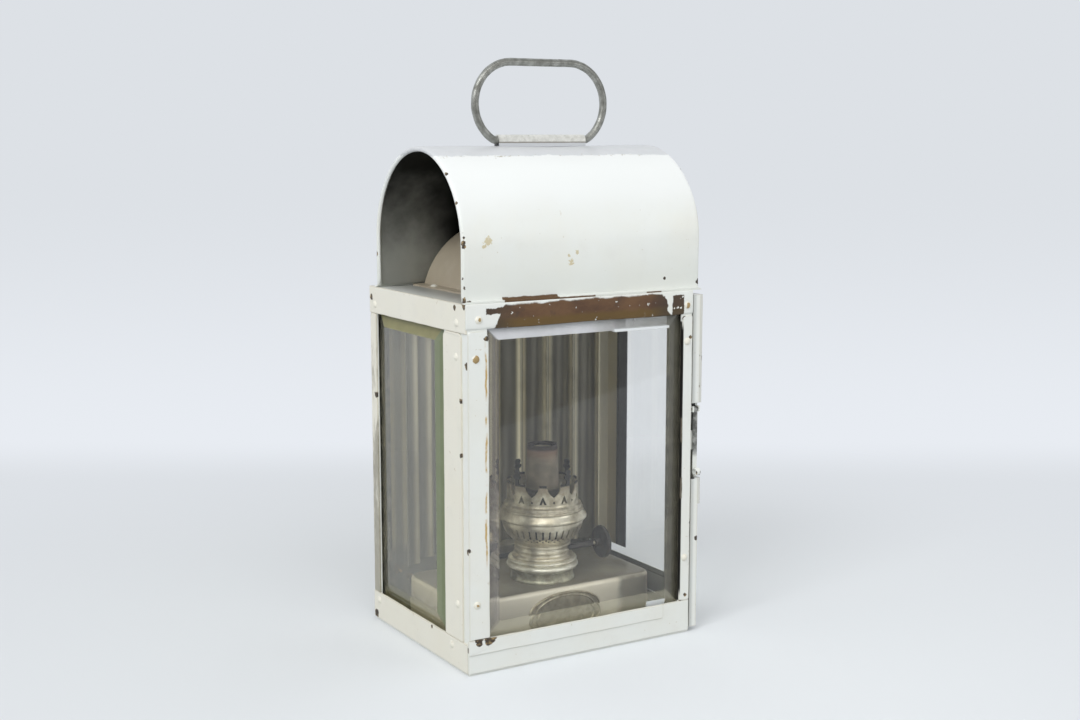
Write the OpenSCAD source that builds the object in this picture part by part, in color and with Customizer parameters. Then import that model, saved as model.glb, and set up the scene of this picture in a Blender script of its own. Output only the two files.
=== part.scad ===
// Oil lantern: a tin case with bevelled panes under a vaulted smoke hood, with a swinging handle,
// a hinged side door, and an oil tank that carries a round-wick burner.
// Millimetres, +Z up, front towards -Y, door on the +X side, origin under the middle of the case.

/* [Case] */
// Width of the case across its front
case_w = 160; // [150:1:190]
// Depth of the case from front to back
case_d = 130; // [126:1:160]
// Height of the case from the floor to the top of its deck
case_h = 219; // [205:1:250]
// Thickness of the folded case sheet
sheet_t = 1; // [0.8:0.1:1.2]
// Thickness of the rails and strips laid over the corner posts
trim_t = 1; // [0.6:0.1:1.4]
// Thickness of the pan's floor
floor_t = 1.2; // [0.8:0.1:2]
// Thickness of the deck sheet
deck_t = 1.2; // [0.8:0.1:2]
// Width of the front leg of the front left post
front_left_leg = 13; // [10:0.5:16]
// Width of the front leg of the front right post
front_right_leg = 8; // [7:0.5:12]
// Width of the left leg of the front left post
left_front_leg = 28; // [20:0.5:34]
// Width of the left leg of the rear left post
left_rear_leg = 8; // [7:0.5:14]
// Width of the back legs of both rear posts
back_leg = 14; // [10:0.5:20]
// Width of the legs beside the door
jamb_leg = 12; // [10:0.5:16]
// Width of the rear inner lip that holds the left pane
lip_w = 8; // [5:0.5:10]
// Width of the inner lip behind the front pane beside the door
jamb_lip_w = 14.5; // [8:0.5:18]
// Overlap of the front left post's lips with the panes
lip_lap = 1; // [0.5:0.1:2.5]

/* [Rails and strips] */
// Height of the front top rail
front_top_h = 13.5; // [10:0.5:18]
// Height of the front bottom rail's upper edge
front_bottom_z = 21.5; // [16:0.5:28]
// Height of the left top rail
left_top_h = 17; // [10:0.5:20]
// Height of the left bottom rail's upper edge
left_bottom_z = 19; // [16:0.5:26]
// Height of the folded strip over the front bottom rail
fold_h = 9; // [5:0.5:12]
// Thickness of that folded strip
fold_t = 0.6; // [0.4:0.1:1]
// Radius of the rivet heads
rivet_r = 2.4; // [1.5:0.1:3]
// Height of the rivet heads
rivet_h = 1.2; // [0.6:0.1:1.5]

/* [Panes] */
// Thickness of the case's panes
glass_t = 4; // [3:0.5:5]
// Depth that a pane reaches behind the legs and rails
glass_lap = 2.5; // [1.5:0.5:3.5]
// Width of the bevel round each pane
bevel_w = 10.5; // [5:0.5:14]
// Thickness lost at the edge of the bevel
bevel_t = 2.2; // [1:0.1:2.5]
// Room between a pane and the lips behind it
glass_play = 0.4; // [0.2:0.1:0.8]

/* [Hood] */
// Step from the case's front to the hood's front wall
hood_step_front = 4; // [3.8:0.1:10]
// Step from the hood's rear wall to the case's back
hood_step_back = 11; // [3.8:0.1:16]
// Height of the hood's straight walls
hood_wall_h = 30.6; // [20:0.5:45]
// Reach of the hood past the case over the door
hood_over = 6.5; // [6:0.5:10]
// Thickness of the hood sheet
hood_t = 1.2; // [0.8:0.1:1.6]
// Width of the turned hems at both mouths
hem_w = 4; // [2:0.5:8]
// Width of the hood's foot flanges on the deck
hood_foot_w = 2.6; // [1.5:0.1:2.8]
// Outer radius of the smoke vault under the hood
vault_r = 53; // [45:0.5:55]
// Depth of the smoke vault's centre under the deck's top
vault_drop = 13.7; // [8:0.1:20]
// Place of the smoke vault's ridge across the case
vault_x = 4; // [0:0.5:6]
// Width of the smoke vault's feet
vault_foot = 8; // [5:0.5:12]
// Diameter of the smoke holes in the vault
smoke_d = 22; // [12:1:28]
// Diameter of the flue hole in the deck
flue_d = 74; // [50:1:84]

/* [Handle] */
// Diameter of the handle wire
wire_d = 4.8; // [4:0.1:5.5]
// Radius of the handle's ends
bail_r = 25; // [18:0.5:30]
// Length of the handle's straight top
bail_top = 42; // [30:1:60]
// Radius of the tight bends above the sleeve
bend_r = 6; // [4:0.5:8]
// Angle of the tight bends
bend_a = 33; // [20:1:45]
// Wall of the handle's sleeve
sleeve_wall = 0.9; // [0.6:0.1:1.4]
// Place of the handle's middle across the case
bail_x = 6; // [-4:0.5:10]
// Radial clearance of the wire in its sleeve
wire_fit = 0.05; // [0.02:0.01:0.1]

/* [Door] */
// Gap between the closed door and the case
door_gap = 0.8; // [0.6:0.1:1.5]
// Thickness of the door from its flanges to its skin
door_t = 5.4; // [5:0.1:7]
// Height of the door above the floor
door_z = 3; // [2:0.5:6]
// Gap between the door and the hood over it
door_head = 3; // [2:0.5:6]
// Width of the door's stiles and top rail round its pane
door_stile = 16; // [12:0.5:22]
// Width of the door's bottom rail
door_low_rail = 28; // [16:0.5:34]
// Thickness of the door's pane
door_glass_t = 3; // [2:0.5:3.4]
// Thickness of the proud strip on the door's front edge
edge_t = 1.6; // [1:0.1:2.5]
// Width of that proud strip
edge_w = 9; // [6:0.5:12]
// Height of that strip's lower end
edge_z = 83; // [60:1:95]
// Width of the tabs that hold the door's pane
tab_w = 12; // [8:0.5:20]
// Distance of those tabs from the door's ends
tab_z = 40; // [30:1:60]
// Width of the hinge plates on the door
hinge_plate_w = 14; // [10:0.5:15]
// Radius of the hinge knuckles
knuckle_r = 2.6; // [2.4:0.1:3]
// Radius of the hinge pins
hinge_pin_r = 1.2; // [1:0.1:1.5]
// Radial clearance of a pin in its knuckles
pin_fit = 0.05; // [0.02:0.01:0.1]
// Length of one hinge knuckle
knuckle_h = 10; // [6:0.5:14]
// Height of the middle of the lower hinge
hinge_low_z = 48; // [30:1:70]
// Height of the middle of the upper hinge
hinge_high_z = 172; // [150:1:180]

/* [Catch] */
// Height of the catch's pivot
catch_z = 144; // [135:1:160]
// Length of the catch's spring leaf
catch_len = 40; // [30:1:46]
// Thickness of the spring leaf
leaf_t = 0.6; // [0.4:0.1:1]
// Width of the spring leaf
leaf_w = 3.2; // [2.5:0.1:4]
// Depth of the cut-away in the door's front edge
cut_d = 4; // [3.5:0.1:5]

/* [Reflector] */
// Radius of the reflector's curve
reflector_r = 92; // [80:1:100]
// Room between the reflector's left side and the lip behind the left pane
reflector_gap = 2.1; // [1.8:0.1:6]
// Room between the reflector's right side and the tie over the door
reflector_door_gap = 1.2; // [1:0.1:4]
// Distance between the ridges along the curve
flute_pitch = 17.8; // [14:0.1:22]
// Depth of the channels and height of the ridges, from the curve
flute_d = 2; // [1:0.1:2.4]
// Thickness of the reflector sheet
reflector_t = 0.6; // [0.4:0.1:1]
// Width of the plain margin beside the door
margin_w = 24; // [12:1:26]
// Height of the reflector's lower edge
reflector_z = 40; // [38:1:50]
// Width of the shelf that the reflector stands on
shelf_w = 60; // [40:1:90]
// Depth of that shelf
shelf_d = 14; // [8:0.5:16]
// Height of the shelf's flange on the back panel
shelf_h = 10; // [6:0.5:14]

/* [Tank] */
// Width of the oil tank
tank_w = 137; // [120:1:140]
// Depth of the oil tank
tank_d = 77; // [70:1:84]
// Height of the oil tank
tank_h = 33; // [30:1:36]
// Place of the tank's middle across the case
tank_x = 3; // [-2:0.5:4]
// Place of the tank's middle from front to back
tank_y = 3.5; // [0:0.5:6]
// Wall of the oil tank
tank_wall = 1; // [0.8:0.1:1.5]
// Radius of the tank's upright corners
tank_corner = 10; // [6:0.5:14]
// Radius of the tank's top edges
tank_edge = 3; // [2:0.5:5]
// Width of the oval plate on the tank
plate_w = 53; // [40:1:60]
// Height of the oval plate on the tank
plate_h = 24; // [18:0.5:25]
// Thickness of the oval plate
plate_t = 0.7; // [0.4:0.1:1]

/* [Burner] */
// Place of the burner across the case
burner_x = 4; // [0:0.5:8]
// Place of the burner from front to back
burner_y = -7.4; // [-9:0.1:0]
// Outer radius of the tank's collar
collar_r = 20.5; // [19.5:0.1:22]
// Height of the tank's collar
collar_h = 7.6; // [5:0.1:10]
// Outer radius of the burner's screw ring
ring_r = 22.8; // [22:0.1:24]
// Height of the burner's screw ring
ring_h = 6.2; // [5:0.1:8]
// Outer radius of the burner's neck
neck_r = 18; // [17.5:0.1:19]
// Height of the burner's neck with its flange
neck_h = 10; // [10:0.1:13]
// Height of the pierced bowl
bowl_h = 15; // [12:0.5:18]
// Outer radius of the pierced bowl's rim
bowl_r = 26; // [24:0.5:28]
// Number of slots round the pierced bowl
bowl_slots = 36; // [24:1:40]
// Radius of the rolled ring's bead
bead_r = 3; // [2:0.1:3.4]
// Outer radius of the crown
crown_r = 23; // [21:0.5:24]
// Height of the crown from its shoulder to the tips of its low prongs
crown_h = 19; // [15:0.5:22]
// Number of low prongs round the crown
crown_prongs = 10; // [8:1:20]
// Direction of the first low prong round the burner
prong_a = 24; // [0:1:44]
// Height of the tall finials above the low prongs
finial_h = 10; // [7:0.5:13]
// Direction of the first tall finial round the burner
finial_a = 14; // [0:1:44]
// Thickness of the burner's sheet brass
brass_t = 0.8; // [0.6:0.1:1]
// Outer radius of the wick tube
tube_r = 10.7; // [10:0.1:11]
// Outer radius of the wick tube at its mouth
mouth_r = 9.5; // [9.3:0.1:9.8]
// Height of the wick tube's mouth above the low prongs
mouth_rise = 22.5; // [16:0.5:28]
// Wall of the wick tube
tube_wall = 0.7; // [0.5:0.1:0.7]
// Thickness of the wick
wick_t = 1.9; // [1.5:0.1:2]
// Clearance of the wick from the tubes
wick_fit = 0.3; // [0.25:0.05:0.4]
// Depth of the wick's upper end below the tube's mouth
wick_low = 1; // [0.5:0.1:3]

/* [Winder] */
// Radius of the feed wheel
wheel_r = 3.2; // [2.8:0.1:3.4]
// Gap between the feed wheel and the wick
wheel_gap = 0.2; // [0.15:0.05:0.4]
// Radius of the winder's shaft
shaft_r = 1.2; // [1:0.1:1.4]
// Radial clearance of the shaft in its sheath
shaft_fit = 0.05; // [0.02:0.01:0.1]
// Wall of the shaft's sheath
sheath_wall = 0.9; // [0.6:0.1:1.2]
// Radius of the winder's knob
knob_r = 10.5; // [8:0.5:12]
// Thickness of the winder's knob
knob_t = 2.6; // [2:0.1:4]
// Distance of the knob from the burner's axis
knob_reach = 36; // [34:0.5:44]

/* [Hidden] */
$fn = 64;
EPS = 0.01;

// Outer faces of the posts, on which rails and strips lie
post_x = case_w / 2 - trim_t;
post_y = case_d / 2 - trim_t;
deck_z = case_h - deck_t;
groove = glass_t + glass_play;
corner_in = 2 * sheet_t + groove;

// Openings that the rails and legs leave for the panes
front_l = -post_x + front_left_leg;
front_r = post_x - front_right_leg;
left_f = -post_y + left_front_leg;
left_b = post_y - left_rear_leg;
front_top_z = case_h - front_top_h;
left_top_z = case_h - left_top_h;

// Hood: its vault spans the deck between both steps
hood_r = (case_d - hood_step_front - hood_step_back) / 2;
hood_y = (hood_step_front - hood_step_back) / 2;
hood_cz = case_h + hood_wall_h;
hood_top = hood_cz + hood_r;
hood_l = -case_w / 2;
hood_rt = case_w / 2 + hood_over;
hood_ri = hood_r - hood_t;
vault_cz = case_h - vault_drop;
vault_half = sqrt(vault_r * vault_r - vault_drop * vault_drop);

// Handle: the sleeve sits on the ridge, and the wire turns in it
wire_r = wire_d / 2;
sleeve_r = wire_r + wire_fit + sleeve_wall;
bail_z = hood_top + sleeve_r + 0.3;
wire_hair = 0.03;
wire_lap = 0.3;
bail_cx = bail_top / 2;
bail_cz = bend_r + (bail_r - bend_r) * cos(bend_a);
bend_cx = bail_cx + (bail_r - bend_r) * sin(bend_a);

// Door: planes, edges and hinge axis
door_in = post_x + door_gap;
door_out = door_in + door_t;
skin_t = 1.2;
skin_in = door_out - skin_t;
leaf_plate = 1;
hinge_x = door_out + leaf_plate - knuckle_r;
hinge_y = post_y - knuckle_r - 0.9;
door_f = -post_y - 0.5;
door_b = hinge_y - knuckle_r - 0.3;
door_top = case_h - door_head;
cut_y = door_f + cut_d;
hinge_zs = [hinge_low_z, hinge_high_z];
knuckle_gap = 0.3;

// Catch: leaf in the cut-away, keeper on the post and lugs on the door
catch_y = cut_y - 2;
leaf_x = door_out - leaf_w - 0.2;
leaf_y = catch_y - 0.8;
catch_pin_r = 0.8;
eye_r = 1.5;
lug_w = 1;
cut_top = catch_z + 4;
cut_low = catch_z - catch_len - 4;
keeper_z = catch_z - catch_len * 0.5;
keeper_h = 12;

// Reflector: its curve is tangent to the back panel and ends before the posts on both sides
reflector_y = post_y - 0.4 - reflector_t - flute_d - reflector_r;
reflector_far = reflector_r + flute_d + reflector_t;
reflector_rx = post_x - 2 * sheet_t - reflector_door_gap;
reflector_al = asin((post_x - corner_in - reflector_gap) / reflector_far);
reflector_ar = asin(reflector_rx / reflector_far);
flute_a = flute_pitch / reflector_r * 180 / PI;
margin_y = reflector_y + reflector_r * cos(reflector_ar) - margin_w;
reflector_top = deck_z - 0.3;

// Tank and burner: each piece sits on the one below it
tank_top = floor_t + tank_h;
tank_front = tank_y - tank_d / 2;
bore_r = collar_r - 3.5;
collar_top = tank_top + collar_h;
ring_top = collar_top + ring_h;
neck_top = ring_top + neck_h;
bowl_top = neck_top + bowl_h;
bead_z = bowl_top + bead_r + 0.05;
bead_cr = bowl_r + 2.3 - bead_r;
crown_z = bead_z + bead_r + 0.05;
crown_top = crown_z + crown_h;
mouth_z = crown_top + mouth_rise;
taper_z = crown_top - 2;
wick_ro = mouth_r - tube_wall - wick_fit;
wick_ri = wick_ro - wick_t;
draft_r = wick_ri - wick_fit;
draft_wall = 0.7;
draft_z = neck_top + 2;
wick_top = mouth_z - wick_low;
wick_foot = floor_t + tank_wall + 11;
wick_slot = 2.6;

// Winder: a shaft across the front of the wick tube
shaft_y = burner_y - wick_ro - wheel_gap - wheel_r;
shaft_z = ring_top + 6.4;
wheel_w = 3;
sheath_r = shaft_r + shaft_fit + sheath_wall;
neck_exit = sqrt(neck_r * neck_r - pow(burner_y - shaft_y, 2));
knob_x = burner_x + knob_reach;
sheath_x = burner_x + neck_exit - 3;
sheath_end = knob_x - 6;
window_h = 2 * wheel_r + 2.4;

// Colours
paint = [0.87, 0.88, 0.86];
cream = [0.88, 0.86, 0.81];
bare_brass = [0.42, 0.32, 0.21];
glass_tint = [0.66, 0.74, 0.66, 0.35];
tin = [0.55, 0.53, 0.47];
dark_tin = [0.36, 0.35, 0.32];
nickel = [0.66, 0.63, 0.55];
brown = [0.36, 0.25, 0.18];
galvanised = [0.63, 0.63, 0.61];
black_iron = [0.2, 0.19, 0.18];
cotton = [0.3, 0.26, 0.22];

// Box between two opposite corners
module span(lo, hi) {
    translate(lo) cube(hi - lo);
}

// Folded angle with its corner at the origin, one leg along X and one along Y
module angle_section(leg_x, leg_y) {
    square([leg_x, sheet_t]);
    square([sheet_t, leg_y]);
}

// Upright post from the pan's floor to the deck, with its section drawn from the corner inwards
module post(sx, sy) {
    translate([sx * post_x, sy * post_y, floor_t])
        mirror([sx > 0 ? 1 : 0, 0, 0])
            mirror([0, sy > 0 ? 1 : 0, 0])
                linear_extrude(deck_z - floor_t) children();
}

module front_left_post() {
    color(paint) post(-1, -1) {
        angle_section(front_left_leg, left_front_leg);
        translate([sheet_t - EPS, sheet_t + groove])
            square([front_left_leg - glass_lap + lip_lap - sheet_t + EPS, sheet_t]);
        translate([sheet_t + groove, corner_in - EPS])
            square([sheet_t, left_front_leg - glass_lap + lip_lap - corner_in + EPS]);
    }
}

module front_right_post() {
    color(paint) post(1, -1) {
        angle_section(front_right_leg, jamb_leg);
        translate([sheet_t - EPS, sheet_t + groove]) square([jamb_lip_w, sheet_t]);
    }
}

module rear_left_post() {
    color(cream) post(-1, 1) {
        angle_section(back_leg, left_rear_leg);
        translate([sheet_t + groove, sheet_t - EPS]) square([sheet_t, lip_w]);
    }
}

module rear_right_post() {
    color(paint) post(1, 1) angle_section(back_leg, jamb_leg);
}

// The pan has a floor and upturned sills, and two of the sills carry a pane on a ledge
module base_pan() {
    front_sill = front_bottom_z - glass_lap;
    left_sill = left_bottom_z - glass_lap;
    color(paint) {
        span([-post_x, -post_y, 0], [post_x, post_y, floor_t]);
        span([front_l, -post_y, floor_t - EPS], [front_r, -post_y + sheet_t, front_sill]);
        span([front_l, -post_y, front_sill - sheet_t], [front_r, -post_y + sheet_t + groove, front_sill]);
        span([-post_x, left_f, floor_t - EPS], [-post_x + sheet_t, left_b, left_sill]);
        span([-post_x, left_f, left_sill - sheet_t], [-post_x + sheet_t + groove, left_b, left_sill]);
        span([post_x - sheet_t, -post_y + jamb_leg, floor_t - EPS],
             [post_x, post_y - jamb_leg, left_sill]);
    }
}

module top_deck() {
    color(paint) difference() {
        span([-post_x, -post_y, deck_z], [post_x, post_y, case_h]);
        translate([vault_x, hood_y, deck_z - 1]) cylinder(d = flue_d, h = deck_t + 2);
    }
}

module front_top_rail() {
    color(bare_brass) span([-case_w / 2, -case_d / 2, front_top_z], [post_x, -post_y, case_h]);
}

module front_bottom_rail() {
    color(paint) span([-case_w / 2, -case_d / 2, floor_t], [post_x, -post_y, front_bottom_z]);
}

module front_fold_strip() {
    color(paint) span([-case_w / 2, -case_d / 2 - fold_t, front_bottom_z - fold_h],
                      [case_w / 2 - 21, -case_d / 2, front_bottom_z]);
}

module left_top_rail() {
    color(cream) span([-case_w / 2, -post_y, left_top_z], [-post_x, case_d / 2, case_h]);
}

module left_bottom_rail() {
    color(cream) span([-case_w / 2, -post_y, floor_t], [-post_x, case_d / 2, left_bottom_z]);
}

// Tie behind the door's top that joins both posts beside the door
module door_header() {
    color(paint) span([post_x - 2 * sheet_t, -post_y + corner_in, left_top_z],
                      [post_x - sheet_t, post_y - sheet_t, deck_z]);
}

module back_panel() {
    color(cream) span([-post_x, post_y, floor_t], [post_x, case_d / 2, case_h]);
}

// Strip laid over a leg, with its upper inner corner cut off; side is 1 where that corner is at +x
module strip_outline(w, h, side) {
    cut = 3;
    mirror([side < 0 ? 1 : 0, 0]) translate([side < 0 ? -w : 0, 0])
        polygon([[0, 0], [w, 0], [w, h - cut], [w - cut, h], [0, h]]);
}

module front_strip(x, w, side) {
    color(paint) translate([x, -post_y, front_bottom_z]) rotate([90, 0, 0])
        linear_extrude(trim_t) strip_outline(w, front_top_z - front_bottom_z - 2, side);
}

module front_left_strip() {
    front_strip(-post_x, front_left_leg + 0.5, 1);
}

module front_right_strip() {
    front_strip(front_r + 0.5, front_right_leg - 0.5, -1);
}

module left_strip(y, w, side) {
    color(cream) translate([-post_x - trim_t, y, left_bottom_z]) rotate([90, 0, 90])
        linear_extrude(trim_t) strip_outline(w, left_top_z - left_bottom_z, side);
}

module left_front_strip() {
    left_strip(-post_y + 6, left_front_leg - 6, 1);
}

module left_rear_strip() {
    left_strip(left_b, left_rear_leg, -1);
}

// Low dome with its base on z = 0
module rivet() {
    dome = (rivet_r * rivet_r + rivet_h * rivet_h) / (2 * rivet_h);
    intersection() {
        translate([0, 0, rivet_h - dome]) sphere(dome);
        cylinder(r = rivet_r + 1, h = rivet_h + 1);
    }
}

module case_rivets() {
    inset = 7;
    front_y = -case_d / 2;
    left_x = -case_w / 2;
    front_spots = [
        [-post_x + inset, front_top_z + front_top_h / 3], [post_x - 4, front_top_z + front_top_h / 3],
        [-post_x + inset - 2, front_top_z - 18], [post_x - 4, front_top_z - 18],
        [-post_x + inset - 2, front_bottom_z + 21], [post_x - 4, front_bottom_z + 28],
    ];
    left_spots = [
        [-post_y + 11, left_top_z + left_top_h / 3], [post_y - 7, left_top_z + left_top_h / 3],
        [-post_y + 12, left_top_z - 14], [-post_y + 12, left_bottom_z + 22],
        [-post_y + 20, left_bottom_z - 5], [post_y - 7, left_bottom_z - 5],
    ];
    color(cream) {
        for (s = front_spots) translate([s[0], front_y, s[1]]) rotate([90, 0, 0]) rivet();
        for (s = left_spots) translate([left_x, s[0], s[1]]) rotate([0, -90, 0]) rivet();
        for (x = [-1, 1], y = [-1, 1])
            translate([vault_x + x * (vault_half + vault_foot / 2), hood_y + y * hood_r * 0.6,
                       case_h + sheet_t]) rivet();
    }
}

// Bevelled pane: w by h, its flat back on z = 0
module pane(w, h, t) {
    hull() {
        cube([w, h, t - bevel_t]);
        translate([bevel_w, bevel_w, 0]) cube([w - 2 * bevel_w, h - 2 * bevel_w, t]);
    }
}

module front_glass() {
    z = front_bottom_z - glass_lap;
    color(glass_tint) translate([front_l - glass_lap, -post_y + sheet_t + glass_t, z]) rotate([90, 0, 0])
        pane(front_r - front_l + 2 * glass_lap, front_top_z - front_bottom_z + 2 * glass_lap, glass_t);
}

module left_glass() {
    z = left_bottom_z - glass_lap;
    color(glass_tint) translate([-post_x + sheet_t + glass_t, left_b + glass_lap, z]) rotate([90, 0, -90])
        pane(left_b - left_f + 2 * glass_lap, left_top_z - left_bottom_z + 2 * glass_lap, glass_t);
}

// Arch section standing on y = 0: round top of radius r centred at height c over straight walls
module arch(r, c) {
    intersection() {
        translate([0, c]) circle(r, $fn = 128);
        translate([-r, c - EPS]) square([2 * r, r + 1]);
    }
    translate([-r, 0]) square([2 * r, c]);
}

// Room under the hood, as a prism along X, with its walls moved in by a gap
module under_hood(gap) {
    translate([hood_l - 1, hood_y, case_h]) rotate([90, 0, 90])
        linear_extrude(hood_rt - hood_l + 2) arch(hood_ri - gap, hood_wall_h);
}

module hood_ring(r_out, r_in, x, w) {
    translate([x, hood_y, case_h]) rotate([90, 0, 90]) linear_extrude(w) difference() {
        arch(r_out, hood_wall_h);
        translate([0, -EPS]) arch(r_in, hood_wall_h + EPS);
    }
}

module hood() {
    foot_l = hood_l + trim_t;
    foot_len = 2 * post_x;
    color(paint) {
        hood_ring(hood_r, hood_ri, hood_l, hood_rt - hood_l);
        hood_ring(hood_r - hood_t / 2, hood_ri - hood_t, hood_l, hem_w);
        hood_ring(hood_r - hood_t / 2, hood_ri - hood_t, hood_rt - hem_w, hem_w);
        for (s = [-1, 1])
            translate([foot_l, hood_y + s * (hood_r + hood_foot_w / 2 - hood_t / 2), case_h + hood_t / 2])
                translate([foot_len / 2, 0, 0])
                    cube([foot_len, hood_foot_w + hood_t, hood_t], center = true);
    }
}

// Arched sheet between the hood's walls that leads the smoke from the deck's flue to both mouths
module smoke_vault() {
    half = vault_half + vault_foot;
    color(tin) intersection() {
        difference() {
            union() {
                translate([vault_x, hood_y + hood_r, vault_cz]) rotate([90, 0, 0])
                    linear_extrude(2 * hood_r) difference() {
                        circle(vault_r, $fn = 128);
                        circle(vault_r - sheet_t, $fn = 128);
                    }
                span([vault_x - half, hood_y - hood_r, case_h], [vault_x + half, hood_y + hood_r, case_h + sheet_t]);
            }
            translate([vault_x, hood_y + hood_r + 1, vault_cz]) rotate([90, 0, 0])
                cylinder(r = vault_r - sheet_t, h = 2 * hood_r + 2, $fn = 128);
            for (i = [-1, 0, 1])
                translate([vault_x, hood_y + i * smoke_d * 1.4, vault_cz]) cylinder(d = smoke_d, h = vault_r + 1);
        }
        under_hood(0.3);
        translate([0, 0, case_h + 100]) cube([2 * case_w, 2 * case_d, 200], center = true);
    }
}

// Strap rolled round the wire, on a foot that follows the ridge
module handle_sleeve() {
    len = 2 * bend_cx - 0.8;
    color(galvanised) difference() {
        union() {
            translate([bail_x - len / 2, hood_y, bail_z]) rotate([0, 90, 0]) cylinder(r = sleeve_r, h = len);
            span([bail_x - len / 2, hood_y - sleeve_r, hood_top - 1], [bail_x + len / 2, hood_y + sleeve_r, bail_z]);
        }
        translate([bail_x - len / 2 - 1, hood_y, bail_z]) rotate([0, 90, 0])
            cylinder(r = wire_r + wire_fit, h = len + 2);
        translate([bail_x - len / 2 - 1, hood_y, hood_cz]) rotate([0, 90, 0])
            cylinder(r = hood_r, h = len + 2, $fn = 128);
    }
}

// Arc of handle wire round (cx, cz) in the handle's plane, from angle a over a turn
module wire_arc(cx, cz, r, a, turn, thin = 0) {
    translate([cx, 0, cz]) rotate([90, 0, 0]) rotate([0, 0, a])
        rotate_extrude(angle = turn, $fn = 96) translate([r, 0]) circle(wire_r - thin, $fn = 32);
}

// Straight run of handle wire at height z, half_len to each side
module wire_run(half_len, z, thin = 0) {
    translate([-half_len, 0, z]) rotate([0, 90, 0]) cylinder(r = wire_r - thin, h = 2 * half_len, $fn = 32);
}

// Handle of one wire; the tight bends and the top run are a hair thinner, and their ends sit in their neighbours
module bail_handle() {
    bend_in = asin(wire_lap / bend_r);
    color(galvanised) translate([bail_x, hood_y, bail_z]) union() {
        wire_run(bend_cx, 0);
        wire_run(bail_cx + wire_lap, bail_cz + bail_r, wire_hair);
        for (m = [0, 1]) mirror([m, 0, 0]) {
            wire_arc(bail_cx, bail_cz, bail_r, bend_a - 90, 180 - bend_a);
            wire_arc(bend_cx, bend_r, bend_r, -90 - bend_in, bend_a + 2 * bend_in, wire_hair);
        }
    }
}

// Door: a skin with a window and turned flanges, stepped back at the catch
module door_plan(inset) {
    difference() {
        translate([door_f + inset, door_z + inset])
            square([door_b - door_f - 2 * inset, door_top - door_z - 2 * inset]);
        translate([door_f - 1, cut_low - inset]) square([cut_d + 1 + inset, cut_top - cut_low + 2 * inset]);
    }
}

module door_slab(inset, x, t) {
    translate([x, 0, 0]) rotate([90, 0, 90]) linear_extrude(t) door_plan(inset);
}

module door_window(grow, x, t) {
    lo = [door_f + door_stile - grow, door_z + door_low_rail - grow];
    hi = [door_b - door_stile + grow, door_top - door_stile + grow];
    span([x, lo[0], lo[1]], [x + t, hi[0], hi[1]]);
}

module door_frame() {
    color(paint) difference() {
        door_slab(0, door_in, door_t);
        door_slab(sheet_t, door_in - 1, door_t - skin_t + 1);
        door_window(0, door_in - 1, door_t + 2);
    }
}

module door_edge_strip() {
    color(paint) difference() {
        span([door_out, door_f, edge_z], [door_out + edge_t, door_f + edge_w, door_top]);
        span([door_out - 1, door_f - 1, cut_low], [door_out + edge_t + 1, cut_y, cut_top]);
    }
}

module door_glass() {
    color(glass_tint) door_window(3, skin_in - door_glass_t, door_glass_t);
}

// Tabs from the door's flanges over the edge of its pane
module door_glass_clips() {
    x = skin_in - door_glass_t - sheet_t;
    reach = door_stile - sheet_t - 1;
    color(paint) for (z = [door_z + tab_z, door_top - tab_z]) {
        span([x, door_f + sheet_t, z - tab_w / 2], [x + sheet_t, door_f + sheet_t + reach, z + tab_w / 2]);
        span([x, door_b - sheet_t - reach, z - tab_w / 2], [x + sheet_t, door_b - sheet_t, z + tab_w / 2]);
    }
}

module knuckle(z) {
    translate([hinge_x, hinge_y, z]) cylinder(r = knuckle_r, h = knuckle_h);
}

module hinge_bore() {
    translate([hinge_x, hinge_y, 0]) cylinder(r = hinge_pin_r + pin_fit, h = case_h);
}

// Fixed half of each hinge: a plate on the jamb whose two outer knuckles carry the pin
module hinge_case_leaves() {
    color(paint) difference() {
        for (zm = hinge_zs, s = [-1.5, 0.5]) {
            z = zm + s * knuckle_h + (s < 0 ? -knuckle_gap : knuckle_gap);
            knuckle(z);
            span([post_x, hinge_y + knuckle_r - leaf_plate, z], [hinge_x, hinge_y + knuckle_r, z + knuckle_h]);
            span([post_x, door_b + 0.4, z], [post_x + door_gap, hinge_y + knuckle_r, z + knuckle_h]);
        }
        hinge_bore();
    }
}

// Moving half of each hinge: the middle knuckle and a plate on the door's skin
module hinge_door_leaves() {
    color(paint) difference() {
        for (zm = hinge_zs) {
            z = zm - knuckle_h / 2;
            knuckle(z);
            span([door_out, hinge_y - knuckle_r - hinge_plate_w, z], [door_out + leaf_plate, hinge_y, z + knuckle_h]);
        }
        hinge_bore();
    }
}

module hinge_pins() {
    half = 1.5 * knuckle_h + knuckle_gap;
    color(bare_brass) for (zm = hinge_zs) translate([hinge_x, hinge_y, zm - half]) {
        cylinder(r = hinge_pin_r, h = 2 * half);
        translate([0, 0, 2 * half]) cylinder(r = hinge_pin_r + 0.8, h = 1.2);
        translate([0, 0, -1.2]) cylinder(r = hinge_pin_r + 0.8, h = 1.2);
    }
}

// Tab on the post with a dimple that the catch's stud rests in front of
module catch_keeper() {
    y = leaf_y + leaf_t + 0.6;
    color(paint) difference() {
        span([post_x, y, keeper_z - keeper_h / 2], [leaf_x + leaf_w, y + sheet_t, keeper_z + keeper_h / 2]);
        translate([leaf_x + leaf_w / 2, y - 1, keeper_z]) rotate([-90, 0, 0]) cylinder(r = 0.9, h = 3);
    }
}

module catch_lugs() {
    color(paint) difference() {
        for (x = [leaf_x - 0.2 - lug_w, leaf_x + leaf_w + 0.2])
            span([x, catch_y - 1.8, catch_z - 1.8], [x + lug_w, cut_y, catch_z + 1.8]);
        translate([leaf_x - 3, catch_y, catch_z]) rotate([0, 90, 0])
            cylinder(r = catch_pin_r + pin_fit, h = leaf_w + 6);
    }
}

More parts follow.
